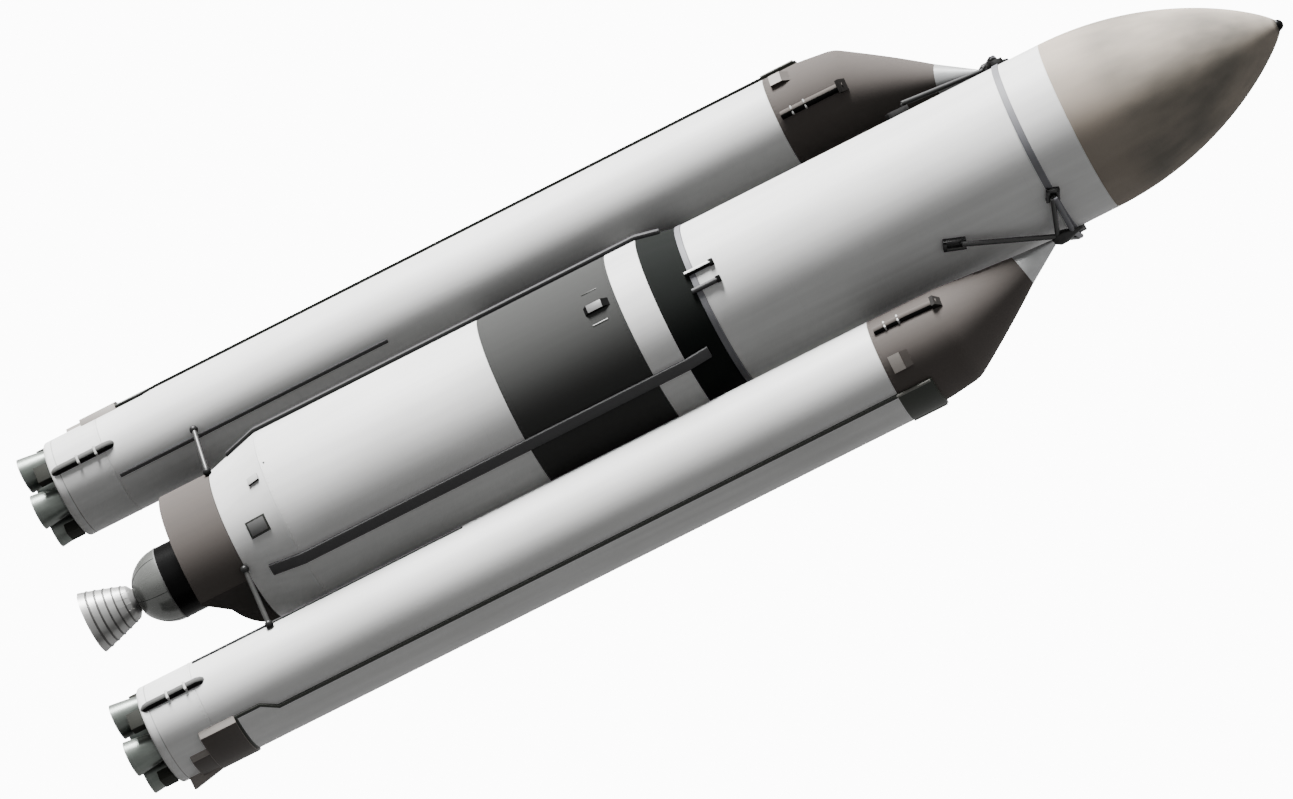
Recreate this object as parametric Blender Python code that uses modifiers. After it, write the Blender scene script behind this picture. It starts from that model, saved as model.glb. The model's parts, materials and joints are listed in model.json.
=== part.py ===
"""A 1:10 scale space rocket: a core stage with a blunt fairing and two strap-on boosters.

The rocket stands on +Z. The boosters' axes lie in the XZ plane, and the tail's
lowest rims, those of the booster nozzles, stand at z = 0. Lengths are in metres.
"""
import math

import bmesh
import bpy
from mathutils import Matrix, Vector

# Driving dimensions of the core stage
CORE_RADIUS = 0.369
SKIRT_RADIUS = 0.308
UPPER_RADIUS = 0.337
BAND_RADIUS = 0.145
CORE_SEGMENTS = 48

# Heights of the core's joints
BAND_Z = 0.362
SKIRT_Z = 0.476
CONE_Z = 0.692
TANK_Z = 0.912
INTERTANK_Z = 1.859
FORWARD_TANK_Z = 2.397
INTERSTAGE_Z = 2.528
TRIM_Z = 2.677
UPPER_Z = 2.701
RING_Z = 4.021
FAIRING_Z = 4.201
NOSE_Z = 5.05

# The core engine: a bell on a gimbal ring, inside a dome that is open at its foot
BELL_EXIT_Z = 0.026
BELL_EXIT_RADIUS = 0.123
GIMBAL_Z = 0.242
DOME_MOUTH_Z = 0.229
DOME_MOUTH_RADIUS = 0.064
DOME_WALL = 0.004
GIMBAL_HEAD_RADIUS = 0.024
GIMBAL_RING_INNER = 0.033
GIMBAL_RING_OUTER = 0.041
GIMBAL_RING_HALF_HEIGHT = 0.011

# Driving dimensions of one booster
BOOSTER_RADIUS = 0.1955
BOOSTER_GAP = 0.0085
BOOSTER_X = CORE_RADIUS + BOOSTER_RADIUS + BOOSTER_GAP
BOOSTER_SEGMENTS = 32
BAY_RIM_Z = 0.117
BAY_WALL = 0.012
BAY_CEILING_Z = 0.300
BAY_TOP_Z = 0.345
BOOSTER_NOSE_Z = 3.191
BOOSTER_TAPER_Z = 3.340
BOOSTER_SHOULDER_Z = 3.478
BOOSTER_TIP_Z = 3.788
BOOSTER_APEX_Z = 3.938
FITTING_TOP_Z = 4.060

# Radius, lean toward the core and tilt of the cone's sections
SHOULDER_RADIUS = 0.186
SHOULDER_LEAN = 0.0095
TIP_RADIUS = 0.062
TIP_LEAN = 0.124
APEX_RADIUS = 0.012
APEX_LEAN = 0.1715
CONE_TILT = 0.27

# A booster's four bells, each on a trunnion whose axis points at the booster's own axis
NOZZLE_CIRCLE = 0.120
NOZZLE_EXIT_RADIUS = 0.0705
NOZZLE_PIVOT_Z = 0.190
NOZZLE_WALL = 0.003
NOZZLE_HEAD_RADIUS = 0.024
NOZZLE_SEGMENTS = 16
EAR_INNER = 0.034
EAR_THICKNESS = 0.008
EAR_HALF_WIDTH = 0.012
PLATE_Z = 0.232
PLATE_THICKNESS = 0.018

# Trunnion pins and their bores
PIN_RADIUS = 0.0055
PIN_PLAY = 0.0006
PIN_SEGMENTS = 12

# The support legs at a booster's foot
LEG_WIDTH = 0.068
LEG_INNER = 0.152
LEG_FOOT_Z = 0.062

# Fittings between the boosters and the core
FITTING_RADIUS = 0.024
FORWARD_STRUT_RADIUS = 0.0085
FORWARD_BRACKET_ANGLE = 27.0
LONG_BRACKET_Z = 3.613
LONG_BRACKET_HALF = 0.043
AFT_STRUT_RADIUS = 0.0075
AFT_BALL_RADIUS = 0.0135
AFT_STRUT_Z = 0.690

# Gap that seated pieces keep to what carries them
SEAT = 0.0003

parts = bpy.data.collections.new("space rocket")
cutters = bpy.data.collections.new("cutters")


def paint(name, color, roughness, metallic=0.0):
    """Return a Principled BSDF material of one colour."""
    material = bpy.data.materials.new(name)
    material.use_nodes = True
    shader = material.node_tree.nodes["Principled BSDF"]
    shader.inputs["Base Color"].default_value = (*color, 1.0)
    shader.inputs["Roughness"].default_value = roughness
    shader.inputs["Metallic"].default_value = metallic
    return material


def add(name, mesh, material=None):
    """Put a mesh in the scene as a part, or as a cutter when it has no material."""
    thing = bpy.data.objects.new(name, mesh)
    if material is None:
        cutters.objects.link(thing)
        thing.hide_render = True
        thing.display_type = "WIRE"
    else:
        parts.objects.link(thing)
        mesh.materials.clear()
        mesh.materials.append(material)
    return thing


def smooth(thing, angle=35.0):
    """Shade a round piece smooth, with its real edges sharp."""
    thing.data.shade_smooth()
    thing.data.set_sharp_from_angle(angle=math.radians(angle))


def turned(name, profile, segments, material=None, origin=(0.0, 0.0, 0.0), closed=False):
    """Turn a profile of (radius, height) points about the vertical line through origin.

    The profile runs down the outer side. It starts and ends on the axis, or it is a
    closed loop.
    """
    mesh = bpy.data.meshes.new(name)
    points = [(radius, 0.0, height) for radius, height in profile]
    edges = [(i, i + 1) for i in range(len(points) - 1)]
    if closed:
        edges.append((len(points) - 1, 0))
    mesh.from_pydata(points, edges, [])
    thing = add(name, mesh, material)
    thing.location = origin
    screw = thing.modifiers.new("turn", "SCREW")
    screw.steps = segments
    screw.render_steps = segments
    screw.use_smooth_shade = True
    screw.use_merge_vertices = True
    screw.merge_threshold = 0.0001
    return thing


def lofted(name, sections, material=None, origin=(0.0, 0.0, 0.0)):
    """Join closed sections of equal point counts, from the lowest to the highest, with caps."""
    mesh = bpy.data.meshes.new(name)
    shape = bmesh.new()
    rings = []
    for section in sections:
        rings.append([shape.verts.new(point) for point in section])
    shape.faces.new(reversed(rings[0]))
    shape.faces.new(rings[-1])
    for lower, upper in zip(rings, rings[1:]):
        for i in range(len(lower)):
            j = (i + 1) % len(lower)
            shape.faces.new((lower[i], lower[j], upper[j], upper[i]))
    bmesh.ops.recalc_face_normals(shape, faces=shape.faces)
    shape.to_mesh(mesh)
    shape.free()
    thing = add(name, mesh, material)
    thing.location = origin
    return thing


def block(name, size, material=None, origin=(0.0, 0.0, 0.0), turn=0.0):
    """Make a box of the given size about its origin, turned about Z by an angle in degrees."""
    mesh = bpy.data.meshes.new(name)
    shape = bmesh.new()
    bmesh.ops.create_cube(shape, size=1.0)
    bmesh.ops.scale(shape, vec=size, verts=shape.verts)
    shape.to_mesh(mesh)
    shape.free()
    thing = add(name, mesh, material)
    thing.location = origin
    thing.rotation_euler.z = math.radians(turn)
    return thing


def round_bar(name, start, end, radius, segments=12, material=None):
    """Make a cylinder between two points."""
    start = Vector(start)
    end = Vector(end)
    mesh = bpy.data.meshes.new(name)
    shape = bmesh.new()
    bmesh.ops.create_cone(
        shape,
        cap_ends=True,
        segments=segments,
        radius1=radius,
        radius2=radius,
        depth=(end - start).length,
    )
    turn = (end - start).to_track_quat("Z", "Y").to_matrix().to_4x4()
    place = Matrix.Translation((start + end) / 2) @ turn
    bmesh.ops.transform(shape, matrix=place, verts=shape.verts)
    shape.to_mesh(mesh)
    shape.free()
    return add(name, mesh, material)


def ball(name, centre, radius, material=None):
    """Make a ball."""
    mesh = bpy.data.meshes.new(name)
    shape = bmesh.new()
    bmesh.ops.create_uvsphere(shape, u_segments=10, v_segments=6, radius=radius)
    shape.to_mesh(mesh)
    shape.free()
    thing = add(name, mesh, material)
    thing.location = centre
    return thing


def combine(thing, other, operation):
    """Union a shape to a part, cut it away or keep only what they share."""
    modifier = thing.modifiers.new(operation.lower(), "BOOLEAN")
    modifier.operation = operation
    modifier.solver = "EXACT"
    modifier.object = other


def on_side(radius, angle, height=0.0):
    """Return the point at a radius and an angle from +X, in degrees, about the Z axis."""
    turn = math.radians(angle)
    return (radius * math.cos(turn), radius * math.sin(turn), height)


def core_outline(extra=0.0):
    """Return the outer profile of the core above the skirt's foot, from its top down."""
    return [
        (UPPER_RADIUS + extra, FAIRING_Z),
        (UPPER_RADIUS + extra, TRIM_Z),
        (CORE_RADIUS + extra, INTERSTAGE_Z),
        (CORE_RADIUS + extra, TANK_Z),
        (SKIRT_RADIUS + extra, CONE_Z),
        (SKIRT_RADIUS + extra, SKIRT_Z),
    ]


def world_angle(side, angle):
    """Return the world angle for an angle from the booster's outward direction."""
    return angle if side > 0 else 180.0 - angle


def core_radius(height):
    """Return the core's outer radius at a height, from the skirt to the fairing."""
    outline = core_outline()
    for (high_radius, high), (low_radius, low) in zip(outline, outline[1:]):
        if low <= height <= high:
            share = (height - low) / (high - low)
            return low_radius + share * (high_radius - low_radius)
    return SKIRT_RADIUS


def strip(name, angle, stations, width, depth, cutter, material=None, centre=(0.0, 0.0)):
    """Lay a raised strip on a round body, along its axis.

    Each station is the body's radius and a height. The strip's inner half is cut
    away to the body's surface.
    """
    along = Vector(on_side(1.0, angle))
    across = Vector((-along.y, along.x, 0.0))
    middle = Vector((*centre, 0.0))
    sections = []
    for radius, height in stations:
        section = []
        for side, reach in ((-0.5, -0.02), (0.5, -0.02), (0.5, depth), (-0.5, depth)):
            point = middle + along * (radius + reach) + across * side * width
            section.append((point.x, point.y, height))
        sections.append(section)
    thing = lofted(name, sections, material)
    combine(thing, cutter, "DIFFERENCE")
    return thing


# Start with an empty scene
for existing in list(bpy.data.objects):
    bpy.data.objects.remove(existing)
bpy.context.scene.collection.children.link(parts)
bpy.context.scene.collection.children.link(cutters)

WHITE = paint("white paint", (0.90, 0.90, 0.89), 0.45)
GREY = paint("grey paint", (0.19, 0.19, 0.18), 0.55)
TAUPE = paint("taupe paint", (0.24, 0.21, 0.19), 0.55)
DARK = paint("dark paint", (0.03, 0.035, 0.03), 0.5)
SLATE = paint("slate paint", (0.14, 0.14, 0.16), 0.5)
BEIGE = paint("beige heat paint", (0.45, 0.41, 0.36), 0.6)
DOME_GREY = paint("dome paint", (0.17, 0.175, 0.16), 0.35)
BLACK = paint("black paint", (0.01, 0.01, 0.01), 0.4)
NOZZLE_METAL = paint("nozzle metal", (0.30, 0.34, 0.32), 0.3, 0.8)
BELL_METAL = paint("bell metal", (0.45, 0.45, 0.44), 0.35, 0.7)
SILVER = paint("silver tip", (0.60, 0.61, 0.61), 0.3, 0.6)
STEEL = paint("dark steel", (0.05, 0.05, 0.05), 0.45, 0.6)

# The core's stacked sections, each a solid of revolution that keeps a seat to the next
sections = (
    ("core_engine_band", BAND_RADIUS, BAND_Z, BAND_RADIUS, SKIRT_Z, BLACK),
    ("core_skirt", SKIRT_RADIUS, SKIRT_Z, SKIRT_RADIUS, CONE_Z, TAUPE),
    ("core_tail_cone", SKIRT_RADIUS, CONE_Z, CORE_RADIUS, TANK_Z, WHITE),
    ("core_lower_tank", CORE_RADIUS, TANK_Z, CORE_RADIUS, INTERTANK_Z, WHITE),
    ("core_intertank", CORE_RADIUS, INTERTANK_Z, CORE_RADIUS, FORWARD_TANK_Z, GREY),
    ("core_upper_tank", CORE_RADIUS, FORWARD_TANK_Z, CORE_RADIUS, INTERSTAGE_Z, WHITE),
    ("core_interstage", CORE_RADIUS, INTERSTAGE_Z, UPPER_RADIUS, TRIM_Z, DARK),
    ("trim_ring", UPPER_RADIUS + 0.003, TRIM_Z, UPPER_RADIUS + 0.003, UPPER_Z, SLATE),
    ("upper_section", UPPER_RADIUS, UPPER_Z, UPPER_RADIUS, FAIRING_Z, WHITE),
)
core = {}
for name, low_radius, low, high_radius, high, material in sections:
    profile = [(0.0, high - SEAT), (high_radius, high - SEAT), (low_radius, low), (0.0, low)]
    core[name] = turned(name, profile, CORE_SEGMENTS, material)

# The fairing's curve starts upright and closes to a small round tip
FAIRING_TIP_RADIUS = 0.022
FAIRING_POWER = 0.86
FAIRING_STEPS = 12
cap_foot = NOSE_Z - FAIRING_TIP_RADIUS
profile = [(0.0, NOSE_Z), (FAIRING_TIP_RADIUS * 0.7, NOSE_Z - 0.006)]
for i in range(FAIRING_STEPS + 1):
    rise = 1.0 - (i / FAIRING_STEPS) ** 1.5
    share = (1.0 - rise**2) ** FAIRING_POWER
    radius = FAIRING_TIP_RADIUS + (UPPER_RADIUS - FAIRING_TIP_RADIUS) * share
    profile.append((radius, FAIRING_Z + rise * (cap_foot - FAIRING_Z)))
profile.append((0.0, FAIRING_Z))
turned("nose_fairing", profile, CORE_SEGMENTS, BEIGE)

# A wedge of the skirt is cut away beside each booster: an upright face, then a sloping one
SKIRT_EDGE_ANGLE = -36.3
SKIRT_FOOT_ANGLE = 88.4
SKIRT_HEAD_ANGLE = 30.0
for side in (1, -1):
    wedge = []
    ends = ((SKIRT_Z - 0.01, SKIRT_FOOT_ANGLE), (CONE_Z - 5 * SEAT, SKIRT_HEAD_ANGLE))
    for height, angle in ends:
        near = Vector(on_side(SKIRT_RADIUS * 1.0005, SKIRT_EDGE_ANGLE))
        far = Vector(on_side(SKIRT_RADIUS * 1.001, angle))
        reach = Vector(on_side(0.9, 0.5 * (angle + SKIRT_EDGE_ANGLE)))
        section = []
        for point in (near, near + reach, far + reach, far):
            section.append((side * point.x, point.y, height))
        wedge.append(section)
    combine(core["core_skirt"], lofted(f"skirt_wedge_{side + 1}", wedge), "DIFFERENCE")

# The slate ring near the top carries four lugs for the forward struts, two to a booster
core_cutter = turned(
    "core_cutter",
    [(0.0, FAIRING_Z)] + core_outline(SEAT * 1.1) + [(0.0, SKIRT_Z)],
    CORE_SEGMENTS,
)
RING_HALF_HEIGHT = 0.013
RING_DEPTH = 0.005
ring_profile = [
    (UPPER_RADIUS + RING_DEPTH, RING_Z + RING_HALF_HEIGHT),
    (UPPER_RADIUS + RING_DEPTH, RING_Z - RING_HALF_HEIGHT),
    (UPPER_RADIUS + SEAT, RING_Z - RING_HALF_HEIGHT),
    (UPPER_RADIUS + SEAT, RING_Z + RING_HALF_HEIGHT),
]
forward_ring = turned("forward_ring", ring_profile, CORE_SEGMENTS, SLATE, closed=True)
BRACKET_DEPTH = 0.022
LUG_WIDTH = 0.040
LUG_HALF = 0.030
BRACKET_WIDTH = 0.046

# Four brackets lower down hold the long struts
for booster, side in (("a", 1), ("b", -1)):
    for end, sign in (("front", -1), ("back", 1)):
        angle = world_angle(side, sign * FORWARD_BRACKET_ANGLE)
        span = ((UPPER_RADIUS, RING_Z - LUG_HALF), (UPPER_RADIUS, RING_Z + LUG_HALF))
        lug = strip(f"ring_lug_{booster}_{end}", angle, span, LUG_WIDTH, BRACKET_DEPTH, core_cutter)
        combine(forward_ring, lug, "UNION")
        low = LONG_BRACKET_Z - LONG_BRACKET_HALF
        span = ((UPPER_RADIUS, low), (UPPER_RADIUS, low + 2 * LONG_BRACKET_HALF))
        name = f"bracket_{booster}_{end}"
        strip(name, angle, span, BRACKET_WIDTH, BRACKET_DEPTH, core_cutter, STEEL)

# Cable ducts run from the tail cone to the interstage, one on each side of the front
DUCT_ANGLE = 37.6
DUCT_WIDTH = 0.044
DUCT_DEPTH = 0.015
duct_heights = (0.779, TANK_Z, INTERSTAGE_Z, 2.622)
duct_stations = [(core_radius(height), height) for height in duct_heights]
for booster, angle in (("a", -DUCT_ANGLE), ("b", DUCT_ANGLE - 180.0)):
    strip(f"core_duct_{booster}", angle, duct_stations, DUCT_WIDTH, DUCT_DEPTH, core_cutter, DARK)

# A small box stands on the intertank at the front, with its twin at the back
INTERTANK_BOX_Z = (2.278, 2.345)
INTERTANK_BOX_WIDTH = 0.036
INTERTANK_BOX_DEPTH = 0.012
for end, angle in (("front", -93.0), ("back", 93.0)):
    span = [(CORE_RADIUS, height) for height in INTERTANK_BOX_Z]
    name = f"intertank_box_{end}"
    strip(name, angle, span, INTERTANK_BOX_WIDTH, INTERTANK_BOX_DEPTH, core_cutter, STEEL)

# The engine dome is an open bowl, hung under the engine band
dome_height = BAND_Z - DOME_MOUTH_Z
mouth_turn = math.acos(DOME_MOUTH_RADIUS / BAND_RADIUS)
outer = []
inner = []
DOME_STEPS = 4
for i in range(DOME_STEPS + 1):
    turn = mouth_turn * i / DOME_STEPS
    drop = dome_height * math.sin(turn) / math.sin(mouth_turn)
    outer.append((BAND_RADIUS * math.cos(turn), BAND_Z - SEAT - drop))
    inner.append(((BAND_RADIUS - DOME_WALL) * math.cos(turn), BAND_Z - 0.006 - drop * 0.965))
dome_profile = outer + [(DOME_MOUTH_RADIUS - DOME_WALL, DOME_MOUTH_Z - SEAT)]
dome_profile += list(reversed(inner)) + [(0.0, BAND_Z - 0.006)]
dome_profile = [(0.0, BAND_Z - SEAT)] + dome_profile
dome = turned("core_engine_dome", dome_profile, BOOSTER_SEGMENTS, DOME_GREY)

# Two ears in the dome carry the gimbal ring, whose pins lie along X
GIMBAL_EAR_X = 0.052
for side in (1, -1):
    ear_height = BAND_Z - 0.004 - (GIMBAL_Z - 0.012)
    ear = block(
        f"gimbal_ear_{side + 1}",
        (0.009, 0.024, ear_height),
        origin=(side * GIMBAL_EAR_X, 0.0, GIMBAL_Z - 0.012 + ear_height / 2),
    )
    combine(dome, ear, "UNION")
bore = round_bar(
    "gimbal_bore",
    (-0.065, 0.0, GIMBAL_Z),
    (0.065, 0.0, GIMBAL_Z),
    PIN_RADIUS + PIN_PLAY,
    PIN_SEGMENTS,
)
combine(dome, bore, "DIFFERENCE")

# The gimbal ring turns about X on its own pins and carries the bell's pins along Y
ring_profile = [
    (GIMBAL_RING_OUTER, GIMBAL_RING_HALF_HEIGHT),
    (GIMBAL_RING_OUTER, -GIMBAL_RING_HALF_HEIGHT),
    (GIMBAL_RING_INNER, -GIMBAL_RING_HALF_HEIGHT),
    (GIMBAL_RING_INNER, GIMBAL_RING_HALF_HEIGHT),
]
gimbal = turned("core_gimbal_ring", ring_profile, 24, STEEL, (0.0, 0.0, GIMBAL_Z), closed=True)
for side in (1, -1):
    pin = round_bar(
        f"gimbal_pin_{side + 1}",
        (side * (GIMBAL_RING_INNER + 0.004), 0.0, GIMBAL_Z),
        (side * (GIMBAL_EAR_X + 0.006), 0.0, GIMBAL_Z),
        PIN_RADIUS,
        PIN_SEGMENTS,
    )
    combine(gimbal, pin, "UNION")
bore = round_bar(
    "bell_pin_bore",
    (0.0, -0.05, GIMBAL_Z),
    (0.0, 0.05, GIMBAL_Z),
    PIN_RADIUS + PIN_PLAY,
    PIN_SEGMENTS,
)
combine(gimbal, bore, "DIFFERENCE")


def bell(name, exit_radius, exit_drop, shape, wall, head_radius, head_top, material, origin):
    """Turn an open bell with a solid head, about its pivot at origin.

    The shape lists the share of the exit radius against the share of the way down
    from the pivot to the exit.
    """
    outer = [(0.0, head_top), (head_radius, head_top)]
    inner = []
    for share, depth in shape:
        outer.append((exit_radius * share, -exit_drop * depth))
    for share, depth in reversed(shape[1:]):
        inner.append((exit_radius * share - wall, -exit_drop * depth))
    inner[0] = (exit_radius - wall, -exit_drop)
    throat = shape[1]
    closing = (0.0, -exit_drop * (throat[1] + 0.02))
    return turned(name, outer + inner + [closing], NOZZLE_SEGMENTS, material, origin)


# Share of the exit radius against the share of the way from the pivot to the exit
CORE_BELL_SHAPE = (
    (0.20, 0.04),
    (0.21, 0.11),
    (0.34, 0.135),
    (0.54, 0.18),
    (0.65, 0.36),
    (0.82, 0.64),
    (1.00, 1.00),
)
core_nozzle = bell(
    "core_nozzle",
    BELL_EXIT_RADIUS,
    GIMBAL_Z - BELL_EXIT_Z,
    CORE_BELL_SHAPE,
    0.004,
    GIMBAL_HEAD_RADIUS,
    0.012,
    BELL_METAL,
    (0.0, 0.0, GIMBAL_Z),
)
pin = round_bar(
    "bell_pins",
    (0.0, -(GIMBAL_RING_OUTER - 0.001), GIMBAL_Z),
    (0.0, GIMBAL_RING_OUTER - 0.001, GIMBAL_Z),
    PIN_RADIUS,
    PIN_SEGMENTS,
)
combine(core_nozzle, pin, "UNION")

BOOSTER_BELL_SHAPE = (
    (0.34, 0.05),
    (0.44, 0.12),
    (0.67, 0.25),
    (0.80, 0.43),
    (0.93, 0.72),
    (1.00, 1.00),
)


def circle(radius, lean, height, tilt=0.0, segments=BOOSTER_SEGMENTS):
    """Return a booster section: a circle moved toward -X by its lean, and tilted."""
    points = []
    for i in range(segments):
        turn = math.tau * i / segments
        x = radius * math.cos(turn)
        points.append((x - lean, radius * math.sin(turn), height + tilt * x))
    return points


def placed(side, point):
    """Return the world point for a booster's own point, whose +X leads away from the core."""
    return (side * (BOOSTER_X + point[0]), point[1], point[2])


def arc_block(name, side, low_angle, high_angle, chamfer, spans, material=None):
    """Raise a block on a booster between two angles, with sloping sides.

    Each span is an outer radius and a height, from the lowest up.
    """
    sections = []
    foot = BOOSTER_RADIUS - 0.03
    for radius, height in spans:
        section = [on_side(foot, low_angle - chamfer, height)]
        for i in range(7):
            angle = low_angle + (high_angle - low_angle) * i / 6
            section.append(on_side(radius, angle, height))
        section.append(on_side(foot, high_angle + chamfer, height))
        sections.append([placed(side, point) for point in section])
    return lofted(name, sections, material)


# Bells, bay, legs, tank, nose and fittings of each booster
LEG_ANGLES = (0, 90, 180, 270)
BELL_ANGLES = (45, 135, 225, 315)
BAY_INNER = BOOSTER_RADIUS - BAY_WALL
PANEL_DEPTH = 0.012
PANEL_FOOT_Z = 0.432
PANEL_STEP_Z = (0.540, 0.600)
PANEL_TOP_Z = 3.330
PANEL_WIDE_ANGLE = 43.0
PANEL_ANGLE = 32.0
FITTING_LEAN = APEX_LEAN + 0.004
SMALL_STRIPS = (
    # name, angle from outward, heights, width, depth, material
    ("side_pipe", -97.0, (0.133, 0.377), 0.028, 0.014, STEEL),
    ("nose_rail", -104.0, (3.212, 3.470), 0.022, 0.012, STEEL),
    ("inner_duct", 226.0, (0.358, 1.500), 0.014, 0.006, STEEL),
    ("nose_box", -60.0, (3.211, 3.259), 0.062, 0.016, TAUPE),
)

for letter, side in (("a", 1), ("b", -1)):
    prefix = f"booster_{letter}_"
    centre = (side * BOOSTER_X, 0.0, 0.0)

    # The tail bay is a deep cup, open at its foot, with a rounded rim
    profile = [
        (0.0, BAY_TOP_Z - SEAT),
        (BOOSTER_RADIUS, BAY_TOP_Z - SEAT),
        (BOOSTER_RADIUS, BAY_RIM_Z + 0.010),
        (BOOSTER_RADIUS - 0.003, BAY_RIM_Z + 0.003),
        (BOOSTER_RADIUS - 0.008, BAY_RIM_Z),
        (BAY_INNER, BAY_RIM_Z + 0.003),
        (BAY_INNER, BAY_CEILING_Z),
        (0.0, BAY_CEILING_Z),
    ]
    turned(prefix + "tail_bay", profile, BOOSTER_SEGMENTS, WHITE, centre)

    # The thrust frame is a plate with a rim up to the ceiling, ears for the bells and legs
    plate_top = BAY_CEILING_Z - SEAT
    plate_radius = BAY_INNER * math.cos(math.pi / BOOSTER_SEGMENTS) - SEAT
    profile = [
        (0.0, plate_top),
        (plate_radius * 0.55, plate_top),
        (plate_radius, PLATE_Z + PLATE_THICKNESS),
        (plate_radius, PLATE_Z),
        (0.0, PLATE_Z),
    ]
    frame = turned(prefix + "thrust_frame", profile, BOOSTER_SEGMENTS, DARK, centre)
    for angle in LEG_ANGLES:
        stem_depth = math.sqrt(plate_radius**2 - LEG_WIDTH**2 / 4) - LEG_INNER
        foot_depth = math.sqrt(BOOSTER_RADIUS**2 - LEG_WIDTH**2 / 4) - LEG_INNER
        spans = (
            ("stem", stem_depth, LEG_FOOT_Z + 0.010, PLATE_Z + 0.006),
            ("foot", foot_depth, LEG_FOOT_Z, BAY_RIM_Z - SEAT),
        )
        for part_name, depth, low, high in spans:
            where = on_side(LEG_INNER + depth / 2, angle, (low + high) / 2)
            leg = block(
                f"{prefix}leg_{part_name}_{angle}",
                (depth, LEG_WIDTH, high - low),
                origin=placed(side, where),
                turn=world_angle(side, angle),
            )
            combine(frame, leg, "UNION")

    for number, angle in enumerate(BELL_ANGLES, start=1):
        pivot = placed(side, on_side(NOZZLE_CIRCLE, angle, NOZZLE_PIVOT_Z))
        for near in (NOZZLE_CIRCLE - EAR_INNER - EAR_THICKNESS, NOZZLE_CIRCLE + EAR_INNER):
            low = NOZZLE_PIVOT_Z - EAR_HALF_WIDTH
            high = PLATE_Z + 0.006
            where = on_side(near + EAR_THICKNESS / 2, angle, (low + high) / 2)
            ear = block(
                f"{prefix}ear_{number}_{near:.3f}",
                (EAR_THICKNESS, 2 * EAR_HALF_WIDTH, high - low),
                origin=placed(side, where),
                turn=world_angle(side, angle),
            )
            combine(frame, ear, "UNION")
        reach = EAR_INNER + EAR_THICKNESS
        inner_end = placed(side, on_side(NOZZLE_CIRCLE - reach - 0.01, angle, NOZZLE_PIVOT_Z))
        outer_end = placed(side, on_side(NOZZLE_CIRCLE + reach + 0.01, angle, NOZZLE_PIVOT_Z))
        bore_radius = PIN_RADIUS + PIN_PLAY
        bore = round_bar(f"{prefix}bore_{number}", inner_end, outer_end, bore_radius, PIN_SEGMENTS)
        combine(frame, bore, "DIFFERENCE")
        nozzle = bell(
            f"{prefix}nozzle_{number}",
            NOZZLE_EXIT_RADIUS,
            NOZZLE_PIVOT_Z,
            BOOSTER_BELL_SHAPE,
            NOZZLE_WALL,
            NOZZLE_HEAD_RADIUS,
            0.014,
            NOZZLE_METAL,
            pivot,
        )
        pin_reach = reach - 0.001
        inner_end = placed(side, on_side(NOZZLE_CIRCLE - pin_reach, angle, NOZZLE_PIVOT_Z))
        outer_end = placed(side, on_side(NOZZLE_CIRCLE + pin_reach, angle, NOZZLE_PIVOT_Z))
        pin = round_bar(f"{prefix}pin_{number}", inner_end, outer_end, PIN_RADIUS, PIN_SEGMENTS)
        combine(nozzle, pin, "UNION")

    # The tank is one long cylinder
    profile = [
        (0.0, BOOSTER_NOSE_Z - SEAT),
        (BOOSTER_RADIUS, BOOSTER_NOSE_Z - SEAT),
        (BOOSTER_RADIUS, BAY_TOP_Z),
        (0.0, BAY_TOP_Z),
    ]
    turned(prefix + "tank", profile, BOOSTER_SEGMENTS, WHITE, centre)

    # The nose leans toward the core, and so does its silver tip
    nose_sections = (
        circle(BOOSTER_RADIUS, 0.0, BOOSTER_NOSE_Z),
        circle(BOOSTER_RADIUS, 0.0, BOOSTER_TAPER_Z),
        circle(SHOULDER_RADIUS, SHOULDER_LEAN, BOOSTER_SHOULDER_Z),
        circle(TIP_RADIUS, TIP_LEAN, BOOSTER_TIP_Z, CONE_TILT),
    )
    nose = [[placed(side, point) for point in section] for section in nose_sections]
    smooth(lofted(prefix + "nose", nose, TAUPE), 25.0)
    tip_sections = (
        circle(TIP_RADIUS, TIP_LEAN, BOOSTER_TIP_Z + SEAT, CONE_TILT),
        circle(APEX_RADIUS, APEX_LEAN, BOOSTER_APEX_Z, CONE_TILT),
    )
    tip = [[placed(side, point) for point in section] for section in tip_sections]
    smooth(lofted(prefix + "nose_tip", tip, SILVER))

    # A pointed fitting on the tip holds the forward struts
    fitting_profile = (
        (0.011, BOOSTER_APEX_Z + SEAT, CONE_TILT, APEX_LEAN),
        (FITTING_RADIUS, BOOSTER_APEX_Z + 0.022, 0.0, FITTING_LEAN),
        (FITTING_RADIUS, BOOSTER_APEX_Z + 0.050, 0.0, FITTING_LEAN),
        (0.012, BOOSTER_APEX_Z + 0.090, 0.0, FITTING_LEAN),
        (0.003, FITTING_TOP_Z, 0.0, FITTING_LEAN),
    )
    rings = []
    for radius, height, tilt, lean in fitting_profile:
        ring = circle(radius, lean, height, tilt, 16)
        rings.append([placed(side, point) for point in ring])
    fitting = lofted(prefix + "forward_fitting", rings, STEEL)
    strut_reach = UPPER_RADIUS + BRACKET_DEPTH + FORWARD_STRUT_RADIUS + 0.002
    for end in (-1, 1):
        end_x, end_y, _ = on_side(strut_reach, end * FORWARD_BRACKET_ANGLE)
        struts = (
            ("long", BOOSTER_APEX_Z + 0.048, LONG_BRACKET_Z + 0.028),
            ("low", BOOSTER_APEX_Z + 0.030, RING_Z - 0.018),
            ("high", BOOSTER_APEX_Z + 0.058, RING_Z + 0.012),
        )
        for strut_name, start_z, end_z in struts:
            start = placed(side, (-FITTING_LEAN, 0.0, start_z))
            finish = (side * end_x, end_y, end_z)
            strut = round_bar(
                f"{prefix}{strut_name}_{end + 1}", start, finish, FORWARD_STRUT_RADIUS, 10
            )
            combine(fitting, strut, "UNION")

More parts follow.
